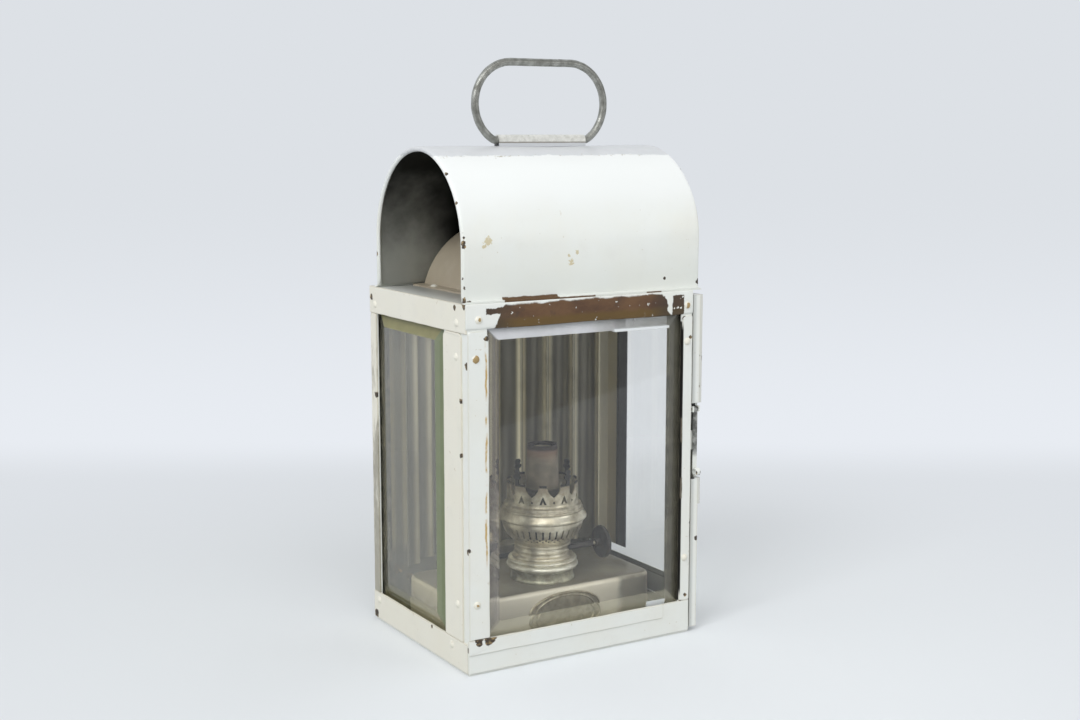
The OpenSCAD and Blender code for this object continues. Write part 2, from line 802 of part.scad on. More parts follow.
module catch_pin() {
    color(bare_brass) translate([leaf_x - 0.2 - lug_w, catch_y, catch_z]) rotate([0, 90, 0])
        cylinder(r = catch_pin_r, h = leaf_w + 0.4 + 2 * lug_w);
}

// Spring leaf with an eye at its top, a stud for the keeper and a curled finger tip
module catch_leaf() {
    curl_r = 2.4;
    color(galvanised) difference() {
        union() {
            translate([leaf_x, catch_y, catch_z]) rotate([0, 90, 0]) cylinder(r = eye_r, h = leaf_w);
            span([leaf_x, leaf_y, catch_z - catch_len], [leaf_x + leaf_w, leaf_y + leaf_t, catch_z]);
            translate([leaf_x, leaf_y + leaf_t - curl_r, catch_z - catch_len]) rotate([0, 90, 0])
                cylinder(r = curl_r, h = leaf_w);
            translate([leaf_x + leaf_w / 2, leaf_y + leaf_t, keeper_z]) rotate([-90, 0, 0])
                cylinder(r1 = 0.7, r2 = 0.4, h = 0.3);
        }
        translate([leaf_x - 1, catch_y, catch_z]) rotate([0, 90, 0])
            cylinder(r = catch_pin_r + pin_fit, h = leaf_w + 2);
        translate([leaf_x - 1, leaf_y + leaf_t - curl_r, catch_z - catch_len]) rotate([0, 90, 0])
            cylinder(r = curl_r - leaf_t, h = leaf_w + 2);
    }
}

// Points of the fluted sheet at a depth off its front, from its left edge to the margin beside the door;
// the channels are broad and the ridges between them are narrow
function flute_r(a) = reflector_r + flute_d * (2 * abs(cos(a / flute_a * 180)) - 1);
function reflector_line(off) = [
    for (i = [0:180]) let (a = -reflector_al + i * (reflector_al + reflector_ar) / 180)
        [(flute_r(a) + off) * sin(a), reflector_y + (flute_r(a) + off) * cos(a)],
    [reflector_rx - reflector_t + off, margin_y],
];
function reversed(list) = [for (i = [len(list) - 1:-1:0]) list[i]];

module reflector() {
    color(tin) translate([0, 0, reflector_z]) linear_extrude(reflector_top - reflector_z)
        polygon(concat(reflector_line(0), reversed(reflector_line(reflector_t))));
}

// Angle on the back panel that the reflector stands on
module reflector_shelf() {
    y = post_y - shelf_d;
    color(tin) {
        span([-shelf_w / 2, y, reflector_z - sheet_t], [shelf_w / 2, post_y, reflector_z]);
        span([-shelf_w / 2, post_y - sheet_t, reflector_z - shelf_h], [shelf_w / 2, post_y, reflector_z - sheet_t + EPS]);
    }
}

// Box with round upright corners and rounded top edges, standing on z = 0
module tub(w, d, h, rc, rt) {
    for (x = [-1, 1], y = [-1, 1]) translate([x * (w / 2 - rc), y * (d / 2 - rc), 0])
        rotate_extrude() {
            square([rc, h - rt]);
            square([rc - rt, h]);
            translate([rc - rt, h - rt]) intersection() {
                circle(rt);
                square(rt);
            }
        }
    translate([-w / 2 + rc, -d / 2, 0]) cube([w - 2 * rc, d, h - rt]);
    translate([-w / 2, -d / 2 + rc, 0]) cube([w, d - 2 * rc, h - rt]);
    translate([-w / 2 + rc, -d / 2 + rt, 0]) cube([w - 2 * rc, d - 2 * rt, h]);
    translate([-w / 2 + rt, -d / 2 + rc, 0]) cube([w - 2 * rt, d - 2 * rc, h]);
    for (y = [-1, 1]) translate([-w / 2 + rc, y * (d / 2 - rt), h - rt]) rotate([0, 90, 0])
        cylinder(r = rt, h = w - 2 * rc);
    for (x = [-1, 1]) translate([x * (w / 2 - rt), d / 2 - rc, h - rt]) rotate([90, 0, 0])
        cylinder(r = rt, h = d - 2 * rc);
}

module tank() {
    color(tin) difference() {
        translate([tank_x, tank_y, floor_t]) tub(tank_w, tank_d, tank_h, tank_corner, tank_edge);
        translate([tank_x, tank_y, floor_t + tank_wall])
            tub(tank_w - 2 * tank_wall, tank_d - 2 * tank_wall, tank_h - 2 * tank_wall,
                tank_corner - tank_wall, tank_edge - tank_wall);
        translate([burner_x, burner_y, tank_top - tank_h / 2]) cylinder(r = bore_r, h = tank_h);
    }
}

module ellipse(w, h) {
    polygon([for (a = [0:6:354]) [w / 2 * cos(a), h / 2 * sin(a)]]);
}

// Blank oval plate with two raised border lines
module tank_plate() {
    line = 1.2;
    color(nickel) translate([burner_x, tank_front, tank_top - tank_edge - plate_h / 2]) rotate([90, 0, 0]) {
        linear_extrude(plate_t) ellipse(plate_w, plate_h);
        for (inset = [0, 8]) linear_extrude(plate_t * 1.8) difference() {
            ellipse(plate_w - inset, plate_h - inset);
            ellipse(plate_w - inset - 2 * line, plate_h - inset - 2 * line);
        }
    }
}

module at_burner(z) {
    translate([burner_x, burner_y, z]) children();
}

module tube(ro, ri, h) {
    difference() {
        cylinder(r = ro, h = h);
        translate([0, 0, -1]) cylinder(r = ri, h = h + 2);
    }
}

module tank_collar() {
    color(nickel) at_burner(tank_top) tube(collar_r, bore_r, collar_h);
}

module burner_screw_ring() {
    color(nickel) at_burner(collar_top) tube(ring_r, bore_r, ring_h);
}

// Neck with a flange below and a floor that holds the wick tube, drilled for the winder's sheath
module burner_neck() {
    flange_h = 2.5;
    color(nickel) difference() {
        at_burner(ring_top) {
            tube(neck_r + 1.5, neck_r - 1.4, flange_h);
            tube(neck_r, neck_r - 1.4, neck_h);
            tube(neck_r - 1, tube_r + 0.05, sheet_t);
        }
        translate([burner_x, shaft_y, shaft_z]) rotate([0, 90, 0])
            cylinder(r = sheath_r + 0.05, h = knob_reach);
    }
}

// Flared bowl pierced with upright slots
module burner_bowl() {
    color(nickel) difference() {
        at_burner(0) rotate_extrude() polygon([
            [neck_r - brass_t, neck_top], [neck_r, neck_top], [neck_r + 4, neck_top + bowl_h * 0.3],
            [bowl_r, bowl_top - 3], [bowl_r, bowl_top], [bowl_r - brass_t, bowl_top],
            [bowl_r - brass_t, bowl_top - 2.6], [neck_r + 3.2, neck_top + bowl_h * 0.34],
        ]);
        at_burner(neck_top + bowl_h * 0.42) for (i = [0:bowl_slots - 1])
            rotate([0, 0, (i + 0.5) * 360 / bowl_slots]) translate([neck_r, -0.7, 0]) cube([12, 1.4, bowl_h * 0.32]);
    }
}

module gallery_ring() {
    color(nickel) at_burner(bead_z) rotate_extrude() translate([bead_cr, 0]) circle(bead_r);
}

// Fleur on a stem, flat in the xy plane and standing on y = 0
module fleur() {
    polygon([[-1.6, -4], [1.6, -4], [0.8, finial_h * 0.7], [-0.8, finial_h * 0.7]]);
    for (s = [-1, 1]) translate([s * 1.9, finial_h * 0.45]) circle(1.4);
    translate([0, finial_h * 0.7]) circle(1.7);
    polygon([[-1.5, finial_h * 0.75], [1.5, finial_h * 0.75], [0, finial_h]]);
}

// Crown that carries the chimney: a shoulder, a pierced band with low prongs, and four tall finials
module crown() {
    step = 360 / crown_prongs;
    notch = crown_r * PI / crown_prongs * 1.3;
    color(nickel) {
        difference() {
            at_burner(0) rotate_extrude() polygon([
                [bead_cr, crown_z], [bead_cr + brass_t, crown_z], [bead_cr, crown_z + 3],
                [crown_r, crown_z + 7], [crown_r, crown_top], [crown_r - brass_t, crown_top],
                [crown_r - brass_t, crown_z + 6.6], [bead_cr - brass_t, crown_z + 2.6],
                [bead_cr - brass_t, crown_z],
            ]);
            at_burner(crown_top) for (i = [0:crown_prongs - 1]) rotate([0, 0, prong_a + (i + 0.5) * step])
                translate([crown_r - 6, 0, -notch / 2]) rotate([45, 0, 0]) cube([12, notch, notch]);
            at_burner(crown_top) for (i = [0:crown_prongs - 1]) rotate([0, 0, prong_a + (i + 0.5) * step])
                translate([crown_r - 6, 0, -notch / 2 - 3]) rotate([0, 90, 0]) cylinder(r = 1.2, h = 12);
        }
        at_burner(crown_top - 1) for (i = [0:3]) rotate([0, 0, finial_a + i * 90])
            translate([crown_r - brass_t * 1.1, 0, 0]) rotate([90, 0, 90]) linear_extrude(brass_t) fleur();
    }
}

// Tube round the wick, drawn in at its mouth, with a window for the feed wheel
module wick_tube() {
    z = ring_top - 2;
    color(brown) difference() {
        at_burner(0) rotate_extrude() polygon([
            [tube_r - tube_wall, z], [tube_r, z], [tube_r, taper_z], [mouth_r, mouth_z],
            [mouth_r - tube_wall, mouth_z], [tube_r - tube_wall, taper_z],
        ]);
        translate([burner_x, shaft_y, shaft_z]) cube([wheel_w + 2, 2 * wheel_r + 1, window_h], center = true);
    }
}

// Inner tube that leads air to the flame, joined to the wick tube by a web at its back
module draft_tube() {
    web_h = taper_z - draft_z - 6;
    color(brown) {
        at_burner(draft_z) difference() {
            union() {
                cylinder(r = draft_r, h = mouth_z - draft_z - 2);
                translate([-0.6, draft_r - draft_wall, 0])
                    cube([1.2, tube_r - tube_wall - draft_r + draft_wall - 0.08, web_h]);
            }
            translate([0, 0, -1]) cylinder(r = draft_r - draft_wall, h = mouth_z - draft_z + 2);
        }
    }
}

// Wick wrapped round the inner tube, open at the back where the web passes
module wick() {
    color(cotton) at_burner(wick_foot) difference() {
        tube(wick_ro, wick_ri, wick_top - wick_foot);
        translate([-wick_slot / 2, 0, -1]) cube([wick_slot, wick_ro + 1, wick_top - wick_foot + 2]);
    }
}

module along_shaft(x) {
    translate([x, shaft_y, shaft_z]) rotate([0, 90, 0]) children();
}

module winder_sheath() {
    color(nickel) along_shaft(sheath_x) tube(sheath_r, shaft_r + shaft_fit, sheath_end - sheath_x);
}

module winder_shaft() {
    start = burner_x - wheel_w / 2;
    color(nickel) along_shaft(start) cylinder(r = shaft_r, h = knob_x - start);
}

// Toothed wheel on the shaft's inner end that drives the wick
module feed_wheel() {
    teeth = 10;
    color(nickel) along_shaft(burner_x - wheel_w / 2) linear_extrude(wheel_w) difference() {
        polygon([for (i = [0:2 * teeth - 1])
            let (r = i % 2 == 0 ? wheel_r : wheel_r * 0.72) [r * cos(i * 180 / teeth), r * sin(i * 180 / teeth)]]);
        circle(shaft_r);
    }
}

module winder_knob() {
    color(black_iron) {
        along_shaft(knob_x) {
            cylinder(r = knob_r, h = knob_t);
            translate([0, 0, knob_t - EPS]) cylinder(r = 3, h = 1.5);
        }
        along_shaft(knob_x - 4) tube(2.6, shaft_r, 4 + EPS);
    }
}

base_pan();
front_left_post();
front_right_post();
rear_left_post();
rear_right_post();
front_top_rail();
front_bottom_rail();
front_fold_strip();
left_top_rail();
left_bottom_rail();
door_header();
back_panel();
top_deck();
front_left_strip();
front_right_strip();
left_front_strip();
left_rear_strip();
case_rivets();
front_glass();
left_glass();
smoke_vault();
hood();
handle_sleeve();
bail_handle();
door_frame();
door_edge_strip();
door_glass();
door_glass_clips();
hinge_case_leaves();
hinge_door_leaves();
hinge_pins();
catch_keeper();
catch_lugs();
catch_pin();
catch_leaf();
reflector();
reflector_shelf();
tank();
tank_plate();
tank_collar();
burner_screw_ring();
burner_neck();
burner_bowl();
gallery_ring();
crown();
wick_tube();
draft_tube();
wick();
winder_sheath();
winder_shaft();
feed_wheel();
winder_knob();
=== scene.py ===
# %% [markdown]
# # An old tin oil lantern
# The lantern is a tin case with bevelled panes, a vaulted hood, a wire handle and a round-wick burner. A
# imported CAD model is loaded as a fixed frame, so every piece is at its real size and place, in metres. This
# lesson adds the surfaces: chipped white paint, browned brass, dull tin, yellowed nickel and clear glass, and
# the pressed, rolled and pierced sheet that a machine model leaves plain.

# %% Load the frame
import math

import bmesh
import bpy
import numpy as np
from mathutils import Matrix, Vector


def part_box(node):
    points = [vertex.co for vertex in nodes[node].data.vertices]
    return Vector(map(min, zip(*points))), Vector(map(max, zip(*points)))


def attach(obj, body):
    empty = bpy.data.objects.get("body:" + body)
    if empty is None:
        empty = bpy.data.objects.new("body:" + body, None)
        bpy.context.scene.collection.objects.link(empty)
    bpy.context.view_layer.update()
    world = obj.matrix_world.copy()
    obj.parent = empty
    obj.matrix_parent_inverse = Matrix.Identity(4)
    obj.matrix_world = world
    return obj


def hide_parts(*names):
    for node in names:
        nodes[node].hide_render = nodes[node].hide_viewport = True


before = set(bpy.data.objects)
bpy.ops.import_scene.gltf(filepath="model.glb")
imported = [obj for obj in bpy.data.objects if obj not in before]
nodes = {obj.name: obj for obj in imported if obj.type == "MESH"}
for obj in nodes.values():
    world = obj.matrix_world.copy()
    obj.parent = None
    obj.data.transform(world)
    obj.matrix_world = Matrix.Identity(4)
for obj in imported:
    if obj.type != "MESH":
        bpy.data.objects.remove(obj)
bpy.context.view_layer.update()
scene = bpy.context.scene
MM = 0.001


def box_mm(name):
    """Lowest and highest corner of a CAD node, in millimetres."""
    return [np.array(corner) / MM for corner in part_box(name)]


def put(name, data, place=(0, 0, 0), look=None):
    """Links a new object into the scene at a place in metres; its -Z axis points along look."""
    made = bpy.data.objects.new(name, data)
    made.location = place
    if look is not None:
        made.rotation_euler = Vector(look).to_track_quat("-Z", "Y").to_euler()
    scene.collection.objects.link(made)
    return made

print("nodes in the frame:", len(nodes))

# %% [markdown]
# ## Camera
# The photograph was taken from the front left, a little above the lantern's middle. The place, the view
# direction and the lens were found by fitting the corners of the case in perspective.

# %% Camera
CAMERA_AT_MM = (-480.6, -812.1, 315.1)
CAMERA_LOOK = (0.5096, 0.8475, -0.1487)
CAMERA_LENS_MM, SENSOR_MM = 50.37, 36

camera_data = bpy.data.cameras.new("camera")
camera_data.sensor_width, camera_data.lens = SENSOR_MM, CAMERA_LENS_MM
scene.camera = put("camera", camera_data, Vector(CAMERA_AT_MM) * MM, CAMERA_LOOK)
print("camera at", tuple(scene.camera.location))

# %% [markdown]
# ## Shader maths as Python
# A material is a graph of nodes, which is hard to read as a list of links. Here a socket is wrapped in a
# small class, so that `1 - mask * 0.5` adds the two Math nodes by itself. Every other node comes from one
# method, which takes the node's type, its settings and the values of its sockets. Colours are written as
# they look on screen, from 0 to 255, and turned into the linear values that nodes use when they are mixed.

# %% Sockets that do arithmetic
def operator(operation):
    """A method that joins two values in one Math node."""
    return lambda self, other: self.math(operation, self, other)


class Sock:
    """An output socket that does arithmetic: each operator adds a Math node."""

    def __init__(self, finish, socket):
        self.finish, self.socket = finish, socket

    def math(self, operation, *values):
        """One Math node on these values."""
        return self.finish.node("Math", {"operation": operation}, dict(enumerate(values)))

    def __rsub__(self, other):
        return self.math("SUBTRACT", other, self)

    def __abs__(self):
        return self.math("ABSOLUTE", self)

    __add__ = __radd__ = operator("ADD")
    __mul__ = __rmul__ = operator("MULTIPLY")
    __sub__ = operator("SUBTRACT")
    __pow__ = operator("POWER")
    least = operator("MINIMUM")
    most = operator("MAXIMUM")

print("sockets ready")

# %% Materials as expressions
def linear(colour):
    """Linear values of a screen colour; a socket or a linear colour is left as it is."""
    if not isinstance(colour, tuple) or len(colour) != 3:
        return colour
    values = np.array(colour) / 255
    values = np.where(values <= 0.04045, values / 12.92, ((values + 0.055) / 1.055) ** 2.4)
    return (*values.tolist(), 1.0)


class Finish:
    """A material or the world under construction; one method makes any node."""

    def __init__(self, name, kind="Material"):
        self.owner = (bpy.data.worlds if kind == "World" else bpy.data.materials).new(name)
        self.owner.use_nodes = True
        self.tree = self.owner.node_tree
        self.tree.nodes.clear()
        self.output = self.tree.nodes.new("ShaderNodeOutput" + kind)

    def node(self, kind, settings=None, inputs=None, out=0):
        """One node: its settings are set first, then its sockets get their links or values."""
        made = self.tree.nodes.new("ShaderNode" + kind)
        for key, value in (settings or {}).items():
            setattr(made, key, value)
        for key, value in (inputs or {}).items():
            if isinstance(value, Sock):
                self.tree.links.new(value.socket, made.inputs[key])
            else:
                made.inputs[key].default_value = value
        return Sock(self, made.outputs[out])

    def place(self):
        """Object coordinates: metres in the lantern's own frame."""
        return self.node("TexCoord", out="Object")

    def parts(self, vector):
        """The coordinates of a vector."""
        return [Sock(self, socket) for socket in self.node("SeparateXYZ", {}, {0: vector}).socket.node.outputs]

    def xyz(self):
        """The place in mm."""
        return [value * 1000 for value in self.parts(self.place())]

    def stretched(self, *scale):
        """The place scaled along each axis, for streaks."""
        return self.node("Mapping", {}, {"Vector": self.place(), "Scale": scale})

    def noise(self, size_mm, detail=4.0, rough=0.55, vector=None, shift=0.0):
        """Clouds from 0 to 1 with features of about size_mm."""
        place = self.place() if vector is None else vector
        if shift:
            place = self.node("VectorMath", {"operation": "ADD"}, {0: place, 1: (shift, -shift, shift)})
        return self.node("TexNoise", {}, {"Vector": place, "Scale": 1000 / size_mm, "Detail": detail,
                                          "Roughness": rough})

    def step(self, value, low, high):
        """Rises smoothly from 0 at low to 1 at high (either way round)."""
        return self.node("MapRange", {"interpolation_type": "SMOOTHSTEP"},
                         {"Value": value, "From Min": low, "From Max": high})

    def between(self, value, low, high, soft):
        """1 between low and high, with soft ends."""
        return self.step(value, low, low + soft) * self.step(value, high, high - soft)

    def patches(self, low, high, *noise, **more):
        """Noise that is 0 below low and 1 above high."""
        return self.step(self.noise(*noise, **more), low, high)

    def ragged(self, value, span, *noise, **more):
        """A value that noise moves by half of span each way."""
        return value + (self.noise(*noise, **more) - 0.5) * span

    def mix(self, factor, a, b):
        """Blend from colour a at factor 0 to b at factor 1."""
        return self.node("Mix", {"data_type": "RGBA"}, {0: factor, 6: linear(a), 7: linear(b)}, 2)

    def coats(self, colour, *layers):
        """Lays (mask, colour) pairs over a colour in turn."""
        for mask, tone in layers:
            colour = self.mix(mask, colour, tone)
        return colour

    def bump(self, height, distance_mm, strength):
        """Normals that lean as if the surface rose by height times distance_mm."""
        return self.node("Bump", {}, {"Height": height, "Distance": distance_mm * MM, "Strength": strength})

    def near(self, spot_mm, radius_mm, ragged, grain_mm):
        """Ragged patch: 1 within about radius_mm of a spot."""
        gap = self.node("VectorMath", {"operation": "DISTANCE"},
                        {0: self.place(), 1: tuple(c * MM for c in spot_mm)}, "Value")
        return self.step(self.ragged(gap * (1000 / radius_mm), 2 * ragged, grain_mm, 5), 1.1, 0.9)

    def within(self, low, high, ragged_mm=3, grain_mm=7):
        """Ragged block: 1 between two corners in mm, with edges that noise moves."""
        a, b, c = [abs(v - (lo + hi) / 2) - (hi - lo) / 2 for v, lo, hi in zip(self.xyz(), low, high)]
        return self.step(self.ragged(a.most(b).most(c), 2 * ragged_mm, grain_mm, 5, 0.62, shift=4.7), 0.25, -0.25)

    def edge_gap(self, box):
        """Distance in mm to a box's nearest edge: the second least of those to its faces."""
        a, b, c = [(hi - lo) / 2 - abs(v - (lo + hi) / 2) for v, lo, hi in zip(self.xyz(), *box)]
        return a.least(b).most(a.most(b).least(c))

    def principled(self, **sockets):
        """A Principled BSDF; an underscore in a name stands for the space in its socket's name."""
        return self.node("BsdfPrincipled", {}, {k.replace("_", " "): v for k, v in sockets.items()}, "BSDF")

    def show(self, shader):
        """Ends the graph in this shader."""
        self.tree.links.new(shader.socket, self.output.inputs["Surface"])
        return self.owner

    def surface(self, **sockets):
        """Ends the material in one Principled BSDF."""
        return self.show(self.principled(**sockets))


def dress(material, *pieces):
    """Gives CAD nodes, by name, or new pieces one material."""
    for piece in pieces:
        slots = (nodes[piece] if isinstance(piece, str) else piece).data.materials
        slots.clear()
        slots.append(material)

print("shader helpers ready")

# %% [markdown]
# ## Studio
# The lantern stands on a wide pale floor in soft light that is weaker from above. A large lamp at the upper
# left and a weaker one above the front shape the hood's vault. A third one stands where the front pane's
# bevels send the camera's view, so that they flash. The floor keeps the soft shadow close by and turns into
# the plain backdrop farther out, so there is no horizon, only a paler band behind the lantern.
# Glass and metal that face the front mirror a darker room beyond the table's straight edge, whose slanting
# line shows in the front pane. Without it every dark place behind the glass would be washed out.

# %% Studio
BACKDROP, HORIZON, ROOM = (221, 225, 230), (232, 236, 242), (104, 104, 102)
FLOOR_PAPER, FLOOR_SHADE, FLOOR_GIVES = (229, 233, 236), (221, 225, 228), (196, 199, 201)
FLOOR_HALF = 8.0
# The view's direction on the floor, and the camera's distance from the origin along it in metres
LOOK_X, LOOK_Y, STAND_BACK = 0.5153, 0.8570, 0.944
# The table's edge is the line x * slope + y = edge, in mm
TABLE_SLOPE, TABLE_EDGE = 0.567, -536

floor_mesh = bpy.data.meshes.new("floor")
floor_corners = [(-1, -1), (1, -1), (1, 1), (-1, 1)]
floor_mesh.from_pydata([(x * FLOOR_HALF, y * FLOOR_HALF, 0) for x, y in floor_corners], [], [(0, 1, 2, 3)])
floor = put("floor", floor_mesh)


def rays(f):
    """Masks for rays that show the studio, from the camera or sent on by glass or metal, and for mirrored
    ones."""
    camera, glossy, through = [f.node("LightPath", {}, {}, f"Is {kind} Ray")
                               for kind in ("Camera", "Glossy", "Transmission")]
    return camera.most(glossy).most(through), glossy * (1 - through) * (1 - camera)


def floor_paper():
    """Lit paper with a painted shadow to the left of the lantern; it fades into the glow of the backdrop."""
    f = Finish("floor_paper")
    away = f.node("VectorMath", {"operation": "LENGTH"}, {0: f.place()}, "Value")
    seen, mirrored = rays(f)
    x, y = f.xyz()[:2]
    behind = x * LOOK_X + y * LOOK_Y
    beside = x * LOOK_Y - y * LOOK_X
    # The paper turns to FLOOR_SHADE to the left of the lantern: a painted shadow.
    shown = f.mix(f.step(beside, 0, -170), FLOOR_PAPER, FLOOR_SHADE)
    lit = f.principled(Base_Color=f.mix(seen, FLOOR_GIVES, shown), Roughness=0.9, Specular_IOR_Level=0.1)
    beyond = mirrored * f.step(x * TABLE_SLOPE + y, TABLE_EDGE + 4, TABLE_EDGE - 4)
    nearness = (behind * MM + STAND_BACK).most(0.1) ** -1
    glow = f.step(nearness, 0.1, 0.66) * f.step(behind, 390, 600)
    far = f.node("Emission", {}, {"Color": f.coats(BACKDROP, (glow, HORIZON), (beyond, ROOM))})
    return f.show(f.node("MixShader", {}, {0: f.step(away, 0.16, 0.62) * seen, 1: lit, 2: far}))

dress(floor_paper(), floor)
print("floor ready")

# %% World and lamps
def studio_sky():
    """Soft light, weaker from above; it shows as the backdrop, or mirrored as the room."""
    f = Finish("studio", "World")
    _, backwards, upwards = f.parts(f.node("TexCoord", out="Generated"))
    light = f.node("Background", {}, {"Color": (0.99, 0.995, 1.0, 1), "Strength": 0.78 - upwards.most(0) * 0.2})
    shown, mirrored = rays(f)
    room = mirrored * f.step(backwards, 0.1, -0.25)
    seen = f.node("Background", {}, {"Color": f.mix(room, BACKDROP, ROOM)})
    return f.show(f.node("MixShader", {}, {0: shown, 1: light, 2: seen}))

scene.world = studio_sky()


def soft_lamp(name, place, aim, size, watts):
    """A square area lamp at place that faces aim."""
    data = bpy.data.lights.new(name, "AREA")
    data.size, data.energy = size, watts
    put(name, data, place, Vector(aim) - Vector(place))

soft_lamp("key_lamp", (-1.75, -1.0, 1.7), (0, 0, 0.2), 1.2, 28)
soft_lamp("hood_lamp", (-0.35, -1.6, 2.0), (0, 0, 0.3), 1.2, 11)
soft_lamp("bevel_lamp", (0.97, -1.53, 0.62), (0, 0, 0.15), 0.8, 3.0)
scene.view_settings.view_transform = "Standard"
print("studio ready")

# %% [markdown]
# ## Sheet metal as grids
# Nearly everything here is thin sheet: bent, rolled, turned or cut. Each shape is a grid of points that two
# parameters run over, so whole arrays are worked out at once. The helpers join the grid into faces, close
# its seams, and make the finished piece ride on its body and stand for the plain CAD node.

# %% Grids, shells and finished pieces
def grid_quads(rows, columns, wrap_rows=False, wrap_columns=False):
    """Corners of a grid's quads, row by row; a wrapped side joins its last line to its first."""
    r, c = np.meshgrid(np.arange(rows if wrap_rows else rows - 1),
                       np.arange(columns if wrap_columns else columns - 1), indexing="ij")
    r2, c2 = (r + 1) % rows, (c + 1) % columns
    corners = [r * columns + c, r * columns + c2, r2 * columns + c2, r2 * columns + c]
    return np.stack(corners, axis=-1).reshape(-1, 4)


def spread(*coordinates):
    """Coordinates that run along different sides of a grid, as its points."""
    return np.stack(np.broadcast_arrays(*coordinates), axis=-1)


def once_round(steps):
    """Evenly spaced angles round a circle."""
    return np.linspace(0, 2 * np.pi, steps, endpoint=False)


def unit(vectors):
    """Vectors divided by their length."""
    return vectors / np.linalg.norm(vectors, axis=-1, keepdims=True)


def tube(points):
    """Shape of a grid of closed rings: points, quads, and caps on its ends."""
    rows, columns = points.shape[:2]
    caps = [range(columns), range((rows - 1) * columns, rows * columns)]
    return points.reshape(-1, 3), grid_quads(rows, columns, False, True), caps


def shell(front, back):
    """Closed sheet between two grids: both faces and a wall round the rim."""
    rows, columns = front.shape[:2]
    count = rows * columns
    number = np.arange(count).reshape(rows, columns)
    rim = np.concatenate([number[0], number[1:, -1], number[-1, -2::-1], number[-2:0:-1, 0]])
    ahead = np.roll(rim, -1)
    walls = np.stack([rim, rim + count, ahead + count, ahead], axis=1)
    face = grid_quads(rows, columns)
    points = np.concatenate([front.reshape(-1, 3), back.reshape(-1, 3)])
    return points, np.concatenate([face, face[:, ::-1] + count, walls])


def joined(*shapes):
    """Several (points, faces) as one."""
    starts = np.cumsum([0] + [len(points) for points, _ in shapes[:-1]])
    return (np.concatenate([points for points, _ in shapes]),
            np.concatenate([faces + start for (_, faces), start in zip(shapes, starts)]))


def new_piece(name, shape, material, stands_for, body="case", crease=40):
    """Makes a mesh in mm, closes its seams, turns it outwards and sets the piece up."""
    points, quads, *ends = shape
    mesh = bpy.data.meshes.new(name)
    mesh.from_pydata((points * MM).tolist(), [], quads.tolist() + [list(cap) for caps in ends for cap in caps])
    work = bmesh.new()
    work.from_mesh(mesh)
    bmesh.ops.remove_doubles(work, verts=work.verts, dist=1e-6)
    bmesh.ops.recalc_face_normals(work, faces=work.faces)
    work.to_mesh(mesh)
    work.free()
    mesh.shade_smooth()
    mesh.set_sharp_from_angle(angle=math.radians(crease))
    piece = put(name, mesh)
    dress(material, piece)
    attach(piece, body)
    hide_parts(*stands_for)
    print(name, "faces:", len(mesh.polygons))

print("grid helpers ready")

# %% [markdown]
# ## Outlines
# Flat pieces start as an outline. Corners become short curves, long sides get more points and a slow wave,
# because they were cut with snips, and the plate is the outline carried through its thickness with a round
# front edge.

# %% Outlines and plates
def rounded(corners, radius, steps=6):
    """Closed outline whose corners are quadratic curves, which start radius from the corner or nearly halfway
    along a short side."""
    corners = np.asarray(corners, float)
    reach = np.broadcast_to(np.asarray(radius, float), len(corners))[:, None]

    def towards(other):
        side = other - corners
        return corners + side * np.minimum(reach / np.linalg.norm(side, axis=1, keepdims=True), 0.48)

    start, end = towards(np.roll(corners, 1, 0)), towards(np.roll(corners, -1, 0))
    t = np.linspace(0, 1, steps)[None, :, None]
    curve = (1 - t) ** 2 * start[:, None] + 2 * t * (1 - t) * corners[:, None] + t ** 2 * end[:, None]
    return curve.reshape(-1, 2)


def evenly(outline, step):
    """The same closed outline with points no farther apart than step."""
    closed = np.vstack([outline, outline[:1]])
    along = np.concatenate([[0], np.cumsum(np.linalg.norm(np.diff(closed, axis=0), axis=1))])
    places = np.union1d(along[:-1], np.arange(0, along[-1], step))
    return np.stack([np.interp(places, along, column) for column in closed.T], axis=1)


def snipped(outline, amount=0.24):
    """Adds slow waves, as hand shears leave."""
    u, v = outline.T
    wave = np.stack([np.sin(v / 9 + u / 5) + np.sin(v / 3.7), np.sin(u / 8 + v / 6) + np.sin(u / 3.1)], axis=1)
    return outline + amount * wave / 2


def inwards(outline):
    """Unit vectors to the left of a closed outline's course."""
    ahead = unit(np.roll(outline, -1, 0) - np.roll(outline, 1, 0))
    return np.stack([-ahead[:, 1], ahead[:, 0]], axis=1)


def plate(outline, thickness, edge=0.35, steps=4):
    """Plate whose front edge is a quarter circle, inset by edge * (1 - cos) at thickness - edge + edge * sin; its
    points are (across, up, out)."""
    bend = np.linspace(0, np.pi / 2, steps)
    inset = np.concatenate([[0], edge * (1 - np.cos(bend)), [1.3 * edge]])[:, None, None]
    height = np.concatenate([[0], thickness - edge + edge * np.sin(bend), [thickness]])[:, None, None]
    rings = outline + inset * inwards(outline)
    return tube(np.concatenate([rings, np.broadcast_to(height, (*rings.shape[:2], 1))], axis=2))


def facing(points, side, at):
    """Turns (across, up, out) points onto the plane of the front or the left side."""
    across, up, out = points.T
    return np.stack((across, at - out, up) if side == "front" else (at - out, across, up), axis=1)

print("shape helpers ready")

# %% [markdown]
# ## Old white paint
# The case was brushed white more than once. Gloss paint of that age is a little yellow and cloudy, and it
# flakes where something hit it, down to tan primer or dark metal. Even wear along every edge looks like a
# computer's work, so only the lowest values of a noise break the edge, and a list of (x, y, z, radius) rows in
# mm adds the chips that the real case has. Where a piece reaches inside the case it is bare tin.

# %% Paint with chips
WHITE, CREAM, AGED = (227, 230, 226), (228, 226, 214), (222, 214, 190)
# The last colour on the next line is painted shadow for narrow gaps.
PRIMER_TAN, BARE_DARK, BARE_TIN, GAP_SHADOW = (164, 140, 96), (66, 56, 46), (122, 118, 104), (30, 29, 26)
CASE_HALF_X, CASE_HALF_Y, DECK_TOP = 79, 64, 219


